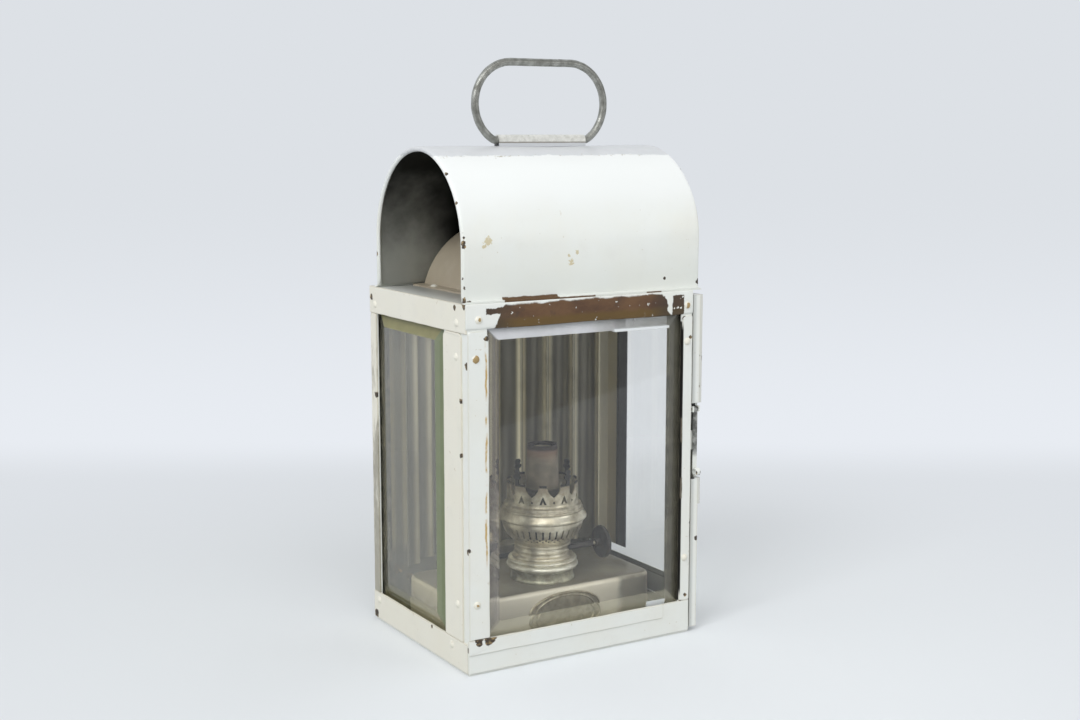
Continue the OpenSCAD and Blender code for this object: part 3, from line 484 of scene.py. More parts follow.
def weathered(f, tint):
    """Old gloss paint: cloudy yellowing, grey rubs and a few tan specks."""
    return f.coats(
        tint,
        (f.patches(0.35, 0.75, 42, 4) * 0.18, AGED),
        (f.patches(0.5, 0.8, 11, 5, 0.6, shift=1.7) * 0.16, (206, 205, 199)),
        (f.patches(0.72, 0.77, 2.6, 3, 0.45, shift=3.1) * 0.5, (178, 164, 134)))


def worn_through(f, chips, edges, rub):
    """1 where the paint is gone: ragged spots, and stretches of a box's edges."""
    worn = 0.0
    for *spot, radius in chips:
        worn = f.near(spot, radius * 1.15, 1.0, radius * 1.6).most(worn)
    if edges:
        broken = f.edge_gap(edges) + (f.noise(9, 6, 0.68) - 0.34) * 10
        worn = f.step(broken, rub, rub - 0.35).most(worn)
    return worn


def old_paint(name, tint, chips=(), edges=None, rub=0.3, bare=BARE_DARK, tin_inside=False, marks=None,
              sooted_and_shaded=None):
    """Gloss paint on sheet metal; marks changes its colour under the chips, painted light and shade among them, and
    the last argument gives a mask and a colour of smoke stains with painted shade."""
    f = Finish(name)
    colour = weathered(f, tint)
    worn = worn_through(f, chips, edges, rub)
    smoke = inside = 0.0
    if edges:
        colour = f.mix(f.step(f.edge_gap(edges), 0.9, 0.0) * 0.28, colour, (168, 156, 126))
    if marks:
        colour = marks(f, colour)
    if sooted_and_shaded:
        # Soot inside the hood, with painted shade deep in the vault.
        smoke, soot_and_shade_tone = sooted_and_shaded(f)
        colour = f.mix(smoke, colour, soot_and_shade_tone)
    if tin_inside:
        x, y, z = f.xyz()
        depth = (CASE_HALF_X - abs(x)).least(CASE_HALF_Y - abs(y))
        inside = f.step(depth, 0.6, 0.9) * f.step(z, DECK_TOP - 0.2, DECK_TOP - 0.6)
        colour = f.mix(inside, colour, f.mix(f.patches(0.35, 0.65, 9, 6), (60, 58, 51), BARE_TIN))
    metal = f.mix(f.patches(0.48, 0.7, 2.2, 4, 0.6), bare, PRIMER_TAN)
    return f.surface(
        Base_Color=f.mix(worn, colour, metal),
        Roughness=0.26 + worn * 0.3 + inside * 0.2 + f.noise(7, 4) * 0.16 + smoke * 0.4,
        Metallic=smoke * 0.9,
        Normal=f.bump((1 - worn) + f.noise(18, 3) * 0.5 + f.noise(2.4, 3, 0.5) * 0.12, 0.2, 0.5))

print("paint recipe ready")

# %% [markdown]
# ## Marks of use and painted shadows
# Each sheet of the case has marks of its own: grey on the deck under the hood, bare tin inside the back panel
# and the door, and steel that fingers rubbed at the catch. They could be painted by hand onto a picture. A mask
# made from the place and a noise needs no picture, stays sharp at any distance and moves with its piece.
# Painted shadows darken the gaps by the front pane and the catch.

# %% Marks of use and painted shadows
def painted_gap_shadow(f, colour):
    """Painted shadow in the gap between the front pane and the right post."""
    return f.mix(f.within((70, -67, 22), (73.6, -60, 200), 0.2, 9), colour, GAP_SHADOW)


def grey_under_hood(f, colour):
    """Grey over the deck under the hood, fading out towards its mouths."""
    return f.mix(f.step(abs(f.xyz()[0]), 82, 60) * 0.75, colour, (128, 128, 122))


def bare_within(f, colour):
    """The back panel's bare inner face; two light streaks show through the left pane."""
    x, y, z = f.xyz()
    face = box_mm("back_panel")[0][1]
    streaks = f.patches(0.36, 0.64, 17, 3, 0.4, f.stretched(1, 1, 0.04))
    light = f.between(x, -68, -60.5, 3).most(f.between(x, -57.5, -52, 2.5) * 0.8)
    tin = f.coats(
        f.mix(streaks, (84, 81, 69), (150, 143, 120)),
        (light * 0.75, (188, 178, 148)),
        (f.step(f.ragged(z, 20, 20, 4), 56, 40) * 0.85, (64, 64, 58)))
    return f.mix(f.step(y, face + 0.5, face + 0.2), colour, tin)


def grey_steel(f, dark, light):
    """Steel that fingers rubbed clean."""
    return f.mix(f.patches(0.4, 0.6, 4, 5), dark, light)


def door_bare_and_shadows(f, colour):
    """The door's bare inner side; its front face with a painted soft shadow by the gap, steel rubbed bare at the
    catch, and a painted shadow beside the catch.
    """
    x, y, z = f.xyz()
    (_, y0, z0), (x1, y1, z1) = box_mm("door_frame")
    inner = f.step(x, x1 - 0.7, x1 - 1.0) * f.between(y, y0 + 0.9, y1 - 0.9, 0.3)
    inner = inner * f.between(z, z0 + 0.9, z1 - 0.9, 0.3)
    return f.coats(
        colour,
        (inner, f.mix(f.noise(14, 5), (84, 84, 74), (112, 110, 98))),
        (f.within((82.6, -66, 122), (86, -56, 147.6), 1.2, 5), grey_steel(f, (56, 57, 55), (128, 130, 128))),
        # A painted soft shadow on the front face by the gap, then a painted shadow beside the catch.
        (f.step(x, 83.2, 80.4) * f.step(y, -62, -63) * 0.45, (132, 138, 139)),
        (f.within((79, -66, 99.5), (82.4, -60, 147.6), 0.3, 9), (52, 53, 52)))


def worn_leaf(f, colour):
    """The catch's upper part, rubbed down to grey steel."""
    upper = f.step(f.ragged(f.xyz()[2], 10, 6, 5), 112, 117)
    return f.mix(upper, colour, grey_steel(f, (84, 85, 82), (150, 151, 148)))

print("marks ready")

# %% Painted pieces
post_chips = [(-79, -63.8, 183.5, 2.2), (-79.2, -64, 75, 1.6), (-79, -55, 162, 1.2)]
back_chips = [(-60, 65, 30, 3.2), (-52, 65, 24, 1.8), (68, 65, 18, 2.6), (20, 65, 205, 1.6), (-75, 65, 120, 2.2),
              (76, 65, 150, 1.8), (-10, 65, 90, 1.3), (45, 65, 60, 1.0), (-66, 65, 211, 2.4)]
door_chips = [(84.5, -64.5, 61, 1.4), (85.2, -50, 212, 1.8), (85.2, 50, 10, 2.4), (85.2, -60, 8, 2.0),
              (85.2, 54, 180, 1.4), (85.2, 10, 6, 1.2), (85.2, -20, 214, 1.3), (85.2, 56, 100, 1.2)]
rivet_chips = [(-74, -66, 187.5, 2.0), (-74, -66.4, 42.5, 0.8), (-72, -66.2, 210, 0.9), (75, -66, 210, 1.3)]

dress(old_paint("paint_case", WHITE, post_chips, tin_inside=True, marks=painted_gap_shadow),
      "base_pan", "front_left_post", "front_right_post", "rear_right_post", "rear_left_post", "door_header")
dress(old_paint("paint_small", WHITE, [(83, -62, 146, 1.5)]),
      "door_glass_clips", "hinge_case_leaves", "hinge_door_leaves", "catch_keeper", "catch_lugs")
dress(old_paint("paint_rivets", CREAM, rivet_chips, bare=PRIMER_TAN), "case_rivets")
dress(old_paint("paint_vault", (166, 155, 136)), "smoke_vault")

# Pieces whose edges wear: node, finish, tint, chips, how far the wear reaches in mm, and the rest
for name, finish, tint, chips, rub, rest in (
        ("top_deck", "paint_deck", WHITE, (), 0.1, {"tin_inside": True, "marks": grey_under_hood}),
        ("back_panel", "paint_back", CREAM, back_chips, 1.2, {"marks": bare_within}),
        ("door_frame", "paint_door", WHITE, door_chips, 0.6, {"marks": door_bare_and_shadows}),
        # The door edge strip's darker tint is painted shade.
        ("door_edge_strip", "paint_door_edge_shaded", (208, 211, 208), (), 0.7, {}),
        ("catch_leaf", "paint_catch", WHITE, (), 1.6, {"bare": (58, 56, 52), "marks": worn_leaf})):
    dress(old_paint(finish, tint, chips, box_mm(name), rub, **rest), name)
print("paint ready")

# %% [markdown]
# ## Bare metals
# Tin goes dull and streaky, nickel plate yellows and lets brass through, zinc shows a mottle of crystals,
# and brass that gets hot turns brown. Each is a metallic shader whose colour and roughness follow noise of
# the right size, and some change with height, because soot and heat do; two height bands, on the wick tube
# and the handle's sleeve, are painted shadow instead.

# %% Bare metals
def patchy_metal(name, light, dark, stain, size_mm, rough, shine=1.0, heights=()):
    """Metal of a light and a dark tone, with stains; each (low, high, colour, strength) row of heights fades in
    with Z."""
    f = Finish(name)
    clouds = f.noise(size_mm, 6, 0.6)
    stains = f.patches(0.5, 0.75, size_mm * 1.8, 6, 0.65, shift=2.3)
    colour = f.coats(
        f.mix(f.step(clouds, 0.3, 0.7), light, dark),
        (stains * 0.6, stain),
        (f.patches(0.68, 0.76, 1.0, 3) * 0.5, BARE_DARK))
    dulled = stains * 0.25
    for low, high, tone, strength in heights:
        grown = f.step(f.ragged(f.xyz()[2], high - low, 4, 5), low, high) * strength
        colour = f.mix(grown, colour, tone)
        dulled = dulled.most(grown * 0.6)
    return f.surface(
        Base_Color=colour,
        Roughness=rough + clouds * 0.18 + dulled * 0.5,
        Metallic=(shine - dulled).most(0),
        Normal=f.bump(clouds * 0.6 + f.noise(1.6, 3) * 0.25, 0.1, 0.45))

nickel = patchy_metal("yellowed_nickel", (216, 209, 189), (178, 168, 144), (132, 110, 76), 6, 0.24, 0.85)
black_iron = patchy_metal("black_iron", (66, 62, 58), (44, 42, 40), (92, 76, 60), 4, 0.45, 0.5)
# The first row paints shadow low on the wick tube inside the crown; the other two are heat and char.
tube_heat_and_shadow = [(93.6, 91.8, (46, 43, 38), 0.9), (110, 116, (112, 84, 68), 0.75), (116.5, 118.5, (44, 39, 35), 0.95)]
dress(nickel, "draft_tube", "feed_wheel", "winder_shaft")
dress(black_iron, "winder_sheath")
dress(patchy_metal("dull_tin", (190, 184, 166), (160, 152, 132), (124, 108, 82), 16, 0.34, 0.85), "reflector_shelf")
dress(patchy_metal("old_brass", (150, 122, 78), (110, 86, 52), BARE_DARK, 3, 0.4), "hinge_pins", "catch_pin")
dress(patchy_metal("browned_and_shaded_tube", (140, 130, 112), (112, 104, 90), (96, 84, 68), 7, 0.42, 0.6, tube_heat_and_shadow),
      "wick_tube")
dress(patchy_metal("charred_cotton", (58, 51, 44), (32, 28, 25), (24, 21, 19), 2, 0.85, 0.3), "wick")
print("metals ready")

# %% [markdown]
# ## Glass
# The panes are real slabs with ground bevels, so one refracting shader shows both. Old glass also carries a
# film of dust all over, and its bevels carry a painted reflection, each in its own tone, because they are cut at
# different angles to the light. Thick glass is green at its edge. Light that only casts shadows passes straight
# through, or the burner would stand in the dark.

# %% Panes with painted reflections on the bevels
BEVEL_W = 10.5
CLEAR, YELLOWED = (0.985, 0.99, 0.982, 1), (0.955, 0.935, 0.82, 1)
# The first colour on the next line is a painted reflection on the front pane's top bevel.
BEVEL_REFLECTION, GREEN_EDGE, BEIGE = (212, 214, 218), (120, 130, 98), (142, 138, 106)


def pane_glass(name, across, veil, bevels, wider=0.0, tint=CLEAR, flashes=()):
    """Clear slab with a film of dust and painted reflections. across is the pane's axis (0 is X, 1 is Y), veil the
    film's strength all over, and bevels the (colour, strength) of the film on the low, high, bottom and top bevel,
    mostly painted reflection, where two of each blend along the pane. wider adds to the low bevel's film, and
    flashes are boxes in which a bevel shows a painted reflection of the white table."""
    f = Finish("glass_" + name)
    low, high = box_mm(name)
    along, z = [f.xyz()[axis] for axis in (across, 2)]
    gaps = [along - (low[across] + wider), high[across] - along, z - low[2], high[2] - z]
    nearest = gaps[0].least(gaps[1]).least(gaps[2].least(gaps[3]))
    strength = f.patches(0.4, 0.85, 34, 6, 0.6) * 0.025 + f.patches(0.72, 0.78, 1.5, 2) * 0.16 + veil
    colour = f.mix(f.noise(20, 4), (178, 177, 168), (196, 196, 192))
    for gap, (tone, amount) in zip(gaps, bevels):
        band = f.step(gap - nearest, 0.35, 0.05) * f.step(nearest, BEVEL_W + 0.15, BEVEL_W - 0.15)
        if isinstance(tone, list):
            far = f.step(f.ragged(along, 30, 16, 4), -8, 52)
            tone, amount = f.mix(far, *tone), far * (amount[1] - amount[0]) + amount[0]
        strength = strength.most(band * (f.noise(13, 5, shift=0.9) * 0.5 + 0.75) * amount)
        colour = f.mix(band, colour, tone)
    for flash in flashes:
        # Each flash is a painted reflection of the white table.
        bright = f.within(*flash, 0.2, 9)
        strength = strength.most(bright * 0.85)
        colour = f.mix(bright, colour, (226, 230, 232))
    slab = f.principled(Base_Color=tint, Roughness=0.01, IOR=1.5, Transmission_Weight=1.0)
    # The film carries the dust and the painted reflections of bevels and flashes.
    film = f.principled(Base_Color=colour, Roughness=0.5)
    through = f.node("MixShader", {}, {0: strength, 1: slab, 2: film})
    shade = f.node("BsdfTransparent", {}, {"Color": (0.95, 0.96, 0.95, 1)})
    return f.show(f.node("MixShader", {}, {0: f.node("LightPath", {}, {}, "Is Shadow Ray"), 1: through, 2: shade}))

# Bevel colours are painted reflections, but for the left pane's green edge; flashes paint the table's reflection.
front_bevels = [((140, 136, 134), 0.30), ((94, 92, 80), 0.44), ((190, 186, 160), 0.16),
                ([BEVEL_REFLECTION, (108, 108, 98)], [0.74, 0.52])]
front_flashes = [((22, -70, 196.5), (62.6, -50, 198.2)), ((49.2, -70, 20), (62.8, -50, 23.8))]
left_bevels = [(GREEN_EDGE, 0.82), ((150, 150, 140), 0.15), ((128, 126, 92), 0.2), ((140, 136, 92), 0.8)]
for name, film in (("front_glass", (0, 0.0, front_bevels, 0.0, CLEAR, front_flashes)),
                   ("left_glass", (1, 0.05, left_bevels, 6.5, YELLOWED)),
                   ("door_glass", (1, 0.02, [(BEIGE, 0.0)] * 4))):
    dress(pane_glass(name, *film), name)
print("three panes")

# %% [markdown]
# ## Hood
# The hood is one sheet bent over a vault, with a foot turned out along each side and a rolled hem round both
# mouths. The hem and the thickness are one small loop across the sheet; that loop is carried along the path
# foot, wall, vault, wall, foot. Slow dents move it in and out, as on any sheet that has been knocked about.

# %% Hood of bent sheet
HOOD_SHEET, HOOD_FOOT, HEM_R, FOOT_BEND, DENT = 1.2, 2.6, 1.5, 1.6, 0.28
HEM_END, HOOD_STATIONS = 3.4, 30
hood_low, hood_high = box_mm("hood")
hood_mid = (hood_low[1] + hood_high[1]) / 2
hood_r = (hood_high[1] - hood_low[1]) / 2 - HOOD_FOOT
hood_axis = hood_high[2] - hood_r
ridge_z = hood_high[2]


def arc(centre, radius, start, end, count):
    """Points of a circle between two angles in degrees."""
    turn = np.radians(np.linspace(start, end, count))
    return np.asarray(centre) + radius * np.stack([np.cos(turn), np.sin(turn)], axis=1)


def hood_path():
    """Middle of the sheet as (y, z): foot, quarter bend, wall and quarter circle, mirrored."""
    sheet_r, foot_z = hood_r - HOOD_SHEET / 2, hood_low[2] + HOOD_SHEET / 2
    bend = arc((-sheet_r - FOOT_BEND, foot_z + FOOT_BEND), FOOT_BEND, -90, 0, 7)
    wall = np.stack([np.full(12, -sheet_r), np.linspace(bend[-1, 1], hood_axis, 14)[1:-1]], axis=1)
    half = np.vstack([[-hood_r - HOOD_FOOT, foot_z], bend, wall, arc((0, hood_axis), sheet_r, 180, 90, 49)])
    return np.vstack([half, half[-2::-1] * [-1, 1]])


def hood_shape():
    """A loop (x, depth) across the sheet, with a half circle at each hem, stands square on the path: point = path
    + normal * (depth + dents)."""
    path = hood_path()
    ahead = unit(np.gradient(path, axis=0))
    half_sheet = HOOD_SHEET / 2
    hem = arc((HEM_R, half_sheet - HEM_R), HEM_R, 90, 270, 9)
    inner = np.linspace(hood_low[0] + HEM_END, hood_high[0] - HEM_END, HOOD_STATIONS)
    flat = np.full(HOOD_STATIONS, half_sheet)
    x = np.concatenate([hood_low[0] + hem[:, 0], inner, hood_high[0] - hem[::-1, 0], inner[::-1]])
    depth = np.concatenate([hem[:, 1], -flat, hem[::-1, 1], flat])
    hemmed = np.clip((path[:, 1] - hood_low[2] - 1) / 3, 0, 1)[:, None]
    depth = hemmed * depth + (1 - hemmed) * np.clip(depth, -half_sheet, half_sheet)
    y, z = path[:, :1], path[:, 1:]
    dents = np.sin(x / 21 + 1) * np.sin(z / 13 + y / 17) + 0.5 * np.sin(x / 9) * np.sin(y / 11)
    depth = depth + DENT * hemmed * dents
    return tube(spread(x, hood_mid + y - ahead[:, 1:] * depth, z + ahead[:, :1] * depth))

print("hood radius in mm:", hood_r)

# %% Soot, painted light and shade, and marks of the hood
def hood_soot_and_shade(f):
    """Soot and painted shade inside the vault: grey at the mouths and low down, black above and deep inside."""
    x, y, z = f.xyz()
    across, up = y - hood_mid, (z - hood_axis).most(0)
    reach = (across * across + up * up) ** 0.5
    inside = f.step(reach, hood_r - 0.45, hood_r - 0.8) * f.between(x, hood_low[0] + 1.2, hood_high[0] - 1.2, 2.5)
    depth = (hood_high[0] - hood_low[0]) / 2 - abs(x - (hood_low[0] + hood_high[0]) / 2)
    soot_and_shade_tone = f.mix(f.step(f.ragged(z, 40, 16, 5), 228, 300), (186, 188, 182), (40, 40, 37))
    return inside, f.mix(f.step(f.ragged(depth, 24, 20, 5), 22, 62), soot_and_shade_tone, (14, 14, 13))


# Thin flakes on the front: x, y, z and radius in mm
FLAKES = [(-63.5, -61, 254, 3.0), (-7.4, -61, 240, 2.0), (-3.1, -61, 245.7, 1.4), (-9, -61, 244, 1.2),
          (-66, -61, 251, 1.4)]


def hood_marks(f, colour):
    """A painted highlight high up and painted shade low down, brown patches on the front foot, a rubbed ridge, and
    thin flakes down to the primer.
    """
    x, y, z = f.xyz()
    foot = f.within((-54, -70, 217), (-17, -56, 221.6), 1.2).most(f.within((-17, -70, 218), (8, -56, 219.9), 0.6))
    foot = foot.most(f.within((45, -70, 218), (56, -56, 219.8), 0.5))
    ridge = f.ragged(z, 3.4, 7, 6, 0.65, shift=1.3)
    flecks = f.patches(0.62, 0.66, 2.2, 4, 0.5, shift=6.1) * f.between(ridge, 300.6, 302.4, 0.4)
    colour = f.coats(
        colour,
        # A painted highlight high on the hood, then painted shade low down.
        (f.step(z, 258, 284) * 0.9, (233, 236, 235)),
        (f.step(z, 250, 226) * 0.5, (211, 215, 209)),
        (foot * f.step(y, -40, -50), f.mix(f.noise(5, 5), (112, 84, 56), (84, 64, 44))),
        (f.step(ridge, 301.3, 301.9) * 0.8, f.mix(f.noise(9, 5), (190, 193, 197), (206, 208, 211))),
        (flecks * 0.7, (150, 136, 108)))
    for *spot, radius in FLAKES:
        colour = f.mix(f.near(spot, radius * 0.8, 1.7, 1.3) * 0.75, colour, (192, 176, 130))
    return colour

hood_chips = [(-80, -61.2, 259.6, 1.3), (-79, -61.2, 256.6, 0.9), (-79.4, -61.2, 253.6, 1.5), (-79, -61, 251.6, 1.1),
              (-80, -61, 233.8, 0.9), (-80, -42, 292.5, 1.3), (-80, -54, 276, 0.9), (-79, -61.4, 228.5, 0.9),
              (-78.5, -61.4, 227.6, 0.6), (-79.5, -61.5, 221, 1.4), (-76, -61.4, 219.8, 1.2), (-57, -61, 270.5, 0.8),
              (60, -61, 227, 0.8), (86, -61, 224, 1.6), (86.5, -40, 292, 1.2), (-80, 54, 240, 1.8),
              (-80, 40, 288, 1.4), (20, 54, 222, 2.2), (-30, 54, 235, 1.2)]
hood_paint = old_paint("paint_hood", WHITE, hood_chips, marks=hood_marks, sooted_and_shaded=hood_soot_and_shade)
new_piece("hood_vault", hood_shape(), hood_paint, ["hood"])

# %% [markdown]
# ## Handle
# The handle is one closed loop of wire: a straight bottom that turns in a sleeve, tight bends, round ends and
# a straight top. A circle is carried along that path. The sleeve is a strap folded over the wire, a sheet
# whose section goes up one side, over the wire and down the other.

# %% Handle wire and sleeve
BAIL_END, BAIL_BEND, BAIL_TURN, STRAP = 25, 6, 33, 0.9
bail_low, bail_high = box_mm("bail_handle")
wire_r = (bail_high[1] - bail_low[1]) / 2
bail_x, bail_z = (bail_low[0] + bail_high[0]) / 2, bail_low[2] + wire_r
strap_low, strap_high = box_mm("handle_sleeve")
strap_r = (strap_high[1] - strap_low[1]) / 2


def bail_path():
    """Closed path (x, z) of the wire: straight, tight bend, round end and straight, mirrored."""
    top_half = (bail_high[0] - bail_low[0]) / 2 - wire_r - BAIL_END
    swing = math.radians(BAIL_TURN)
    end_z = BAIL_BEND + (BAIL_END - BAIL_BEND) * math.cos(swing)
    bend_x = top_half + (BAIL_END - BAIL_BEND) * math.sin(swing)
    bottom = np.stack([np.linspace(0, bend_x, 16)[:-1], np.zeros(15)], axis=1)
    bend = arc((bend_x, BAIL_BEND), BAIL_BEND, -90, BAIL_TURN - 90, 9)[:-1]
    end = arc((top_half, end_z), BAIL_END, BAIL_TURN - 90, 90, 60)
    top = np.stack([np.linspace(top_half, 0, 16)[1:], np.full(15, end_z + BAIL_END)], axis=1)
    half = np.vstack([bottom, bend, end, top])
    return np.vstack([half, half[-2:0:-1] * [-1, 1]])


def bail_shape(around=24):
    """Point = path + radius * (cos * in-plane normal + sin * Y), faintly uneven along the wire."""
    path = bail_path()
    turn = once_round(around)
    radius = wire_r * (0.985 + 0.015 * np.sin(np.arange(len(path)) * 0.8))[:, None]
    x, z = [path[:, [i]] + inwards(path)[:, [i]] * radius * np.cos(turn) for i in (0, 1)]
    points = spread(bail_x + x, hood_mid + radius * np.sin(turn), bail_z + z)
    return points.reshape(-1, 3), grid_quads(len(path), around, True, True)


def strap_grid(radius, stations=33):
    """Strap at one depth: up, over the wire and down, along X; uneven, but never narrower than the wire."""
    foot = ridge_z - bail_z + 0.05
    section = np.vstack([[radius, foot], arc((0, 0), radius, 0, 180, 25), [-radius, foot]])
    x = np.linspace(strap_low[0], strap_high[0], stations)[:, None]
    swell = 1.0125 + 0.0125 * np.sin(x / 3.3) * np.sin(x / 7.1 + 1)
    return spread(x, hood_mid + section[:, 0] * swell, bail_z + section[:, 1])

zinc = patchy_metal("mottled_zinc", (182, 183, 178), (138, 139, 133), (80, 76, 68), 5, 0.34, 0.75)
# The first row of heights paints a shadow line at the sleeve's foot; the second is the grey band of the rubbed
# ridge.
painted_zinc_with_shadow = patchy_metal("painted_zinc_with_shadow", (228, 228, 223), (206, 206, 200), (160, 157, 148), 3, 0.36, 0.25,
                            [(ridge_z + 2.9, ridge_z + 2.3, (104, 98, 84), 0.85),
                             (ridge_z + 2.1, ridge_z + 1.7, (196, 199, 203), 0.95)])
new_piece("bail_wire", bail_shape(), zinc, ["bail_handle"], "bail")
new_piece("handle_strap", shell(strap_grid(strap_r - 0.08), strap_grid(strap_r - STRAP)), painted_zinc_with_shadow,
          ["handle_sleeve"])

# %% [markdown]
# ## Rails and strips
# The case is held together by flat bars laid over its corner posts. They are plates with round front edges,
# cut by hand, so their sides wander a little. The paint finish knows each bar's box, to wear its edges.

# %% Painted rails and strips
def bar_plate(name, side, corner_r):
    """Plate over a CAD bar's box, with corner radii (bottom low, bottom high, top high, top low)."""
    low, high = box_mm(name)
    axis, out = (0, 1) if side == "front" else (1, 0)
    corners = [(low[axis], low[2]), (high[axis], low[2]), (high[axis], high[2]), (low[axis], high[2])]
    outline = np.clip(snipped(evenly(rounded(corners, corner_r), 5)), corners[0], corners[2])
    points, *faces = plate(outline, high[out] - low[out])
    return facing(points, side, high[out]), *faces


def putty(f, colour):
    """Yellowed putty along the inner edge of the front left strip."""
    x, y, z = f.xyz()
    line = f.between(f.ragged(x, 3, 14, 4), -68.4, -66.6, 0.6) * f.between(z, 62, 200, 12)
    return f.mix(line * f.patches(0.38, 0.6, 9, 4, shift=5.2), colour, (186, 156, 96))


def gap_shadow_and_flakes(f, colour):
    """A painted shadow along the inner edge of the front right strip, and two long flakes."""
    x, y, z = f.xyz()
    edge = box_mm("front_right_strip")[0][0]
    upper, lower = [f.within((68, -70, low), (high_x, -60, high), 0.9, 6)
                    for low, high_x, high in ((124, 72.2, 139.5), (88, 72.5, 101.5))]
    return f.coats(
        colour,
        # The first coat is a painted shadow line along the strip's inner edge.
        (f.step(x, edge + 0.9, edge + 0.4) * f.between(z, 24, 200, 6), GAP_SHADOW),
        (upper.most(lower), f.mix(f.noise(3, 4), BARE_DARK, (128, 122, 108))))


def grey_rear_strip(f, colour):
    """Rear left strip, grey in long streaks along most of its height."""
    rubbed = f.patches(0.42, 0.55, 15, 6, 0.65, f.stretched(1, 1, 0.25))
    return f.mix(rubbed * 0.9, colour, f.mix(f.noise(5, 4), (128, 124, 110), (172, 168, 152)))

# Bar: side, corner radii, chips and marks
corner_chips = [(-79.5, -65, 16, 1.6), (-68, -65, 18.5, 3.0), (-73.5, -65, 21, 2.0), (-80, -64, 184, 1.6)]
bars = {
    "front_bottom_rail": ("front", 1.0, corner_chips, None),
    "front_fold_strip": ("front", 1.0, [(-66, -65.5, 20.5, 3.2), (-73, -65.5, 20.5, 2.4)], None),
    "front_left_strip": ("front", (1.0, 1.0, 5.5, 3.0), [(-67, -65, 199, 1.4), (-79, -65, 76, 1.0)], putty),
    "front_right_strip": ("front", (1.0, 1.0, 1.5, 2.5), [(76, -65.5, 25, 1.0), (77.6, -65, 190, 1.0)], gap_shadow_and_flakes),
    "left_top_rail": ("left", 1.0, [(-80, -51, 216, 1.5), (-80, -62, 218, 1.6), (-80, 62, 212, 1.6)], None),
    "left_bottom_rail": ("left", 1.0, [(-80, 62, 4, 2.6), (-80, -18, 17.5, 1.0)], None),
    "left_front_strip": ("left", (1.0, 1.0, 5.0, 5.0), [(-80, -57.5, 163, 1.3), (-80, -57.5, 131, 1.2)], None),
    "left_rear_strip": ("left", (1.0, 1.0, 1.5, 2.5), [(-80, 57, 150, 1.8)], grey_rear_strip),
}
for name, (side, corner_r, chips, marks) in bars.items():
    tint, slot = (WHITE, "paint_white") if side == "front" else (CREAM, "paint_cream")
    rub = 0.7 if name == "front_right_strip" else 0.2
    finish = old_paint("paint_" + name, tint, chips, box_mm(name), rub, marks=marks)
    new_piece("bar_" + name, bar_plate(name, side, corner_r), finish, [name])

# %% [markdown]
# ## Front top rail
# The rail over the front pane has lost its paint in the middle and shows browned brass, redder above and
# olive on its rolled lower edge. White paint holds on at both ends and in specks. Its section is flat above
# and curls in below; that section is carried along the front.

# %% Browned rail
RAIL_CURL = 2.6
rail_low, rail_high = box_mm("front_top_rail")


def rail_shape(stations=70):
    """Section (y, z) with a flat front and a lower edge that curls inwards, carried along X."""
    back, front, top, foot = rail_high[1], rail_low[1], rail_high[2], rail_low[2] - 1.1
    section = rounded([(back, top), (front, top), (front, foot + RAIL_CURL), (front + 0.2, foot + 0.8),
                       (front + 0.7, foot), (back, foot)], [0.2, 0.5, 1.2, 0.5, 0.4, 0.2])
    x = np.linspace(rail_low[0], rail_high[0], stations)[:, None]
    y, z = section.T
    return tube(spread(x, y + 0.10 * np.sin(x / 11) * (y < front + 0.5),
                       z + 0.18 * np.sin(x / 13 + 1) * (z < foot + 1)))

print("rail from", rail_low, "to", rail_high)

# %% Worn paint of the rail
def browned_rail():
    """Brown metal where the paint is lost, and old paint elsewhere."""
    f = Finish("browned_rail")
    x, y, z = f.xyz()
    torn = f.noise(9, 6, 0.66)
    middle = f.step(abs(x - 0.5) + (torn - 0.5) * 10 + (z - 212) * 0.5, 58.6, 57.8)
    middle = middle.most(f.within((63.5, -70, 203), (72, -60, 216.5), 1.8, 6))
    middle = middle.most(f.within((-67, -70, 212.8), (-55, -60, 216.4), 2.2, 5))
    under = f.step(f.ragged(z, 5, 12, 4), 218.6, 217.4)
    bare = middle * under * (1 - f.patches(0.66, 0.70, 3.4, 3, 0.5, shift=2.2))
    brown = f.coats(
        f.mix(f.patches(0.35, 0.7, 14, 6, 0.62, f.stretched(0.5, 1, 1)), (113, 84, 58), (85, 61, 46)),
        (f.patches(0.55, 0.75, 7, 5, shift=1.1) * 0.6, (74, 62, 54)),
        (f.step(f.ragged(z, 3.5, 6, 4), 211.4, 207.6) * 0.8, (106, 84, 42)),
        (f.step(abs(x) + (torn - 0.5) * 16, 44, 60) * 0.6, (62, 58, 52)))
    return f.surface(
        Base_Color=f.mix(bare, weathered(f, WHITE), brown),
        Roughness=0.3 + bare * 0.2,
        Metallic=bare * 0.25,
        Normal=f.bump((1 - bare) + f.noise(2, 4) * 0.3, 0.2, 0.6))

new_piece("top_rail_front", rail_shape(), browned_rail(), ["front_top_rail"])

# %% [markdown]
# ## Reflector
# Behind the burner stands a sheet of tin, bent into part of a cylinder and pressed into wide channels with
# sharp ridges between them, so that it throws the light forward in strips. The radius of the sheet swings
# with the angle as the size of a cosine, which has a sharp fold wherever it changes sign. Beside the door a
# plain margin runs straight to the front. Two grids, the thickness apart, make the sheet.

# %% Fluted reflector
REFLECTOR_R, FLUTE_DEPTH, FLUTE_PITCH, REFLECTOR_T, MARGIN_W = 92, 2, 17.8, 0.6, 24
sheet_low, sheet_high = box_mm("reflector")
outer_r = REFLECTOR_R + FLUTE_DEPTH + REFLECTOR_T
reflector_mid = sheet_high[1] - outer_r


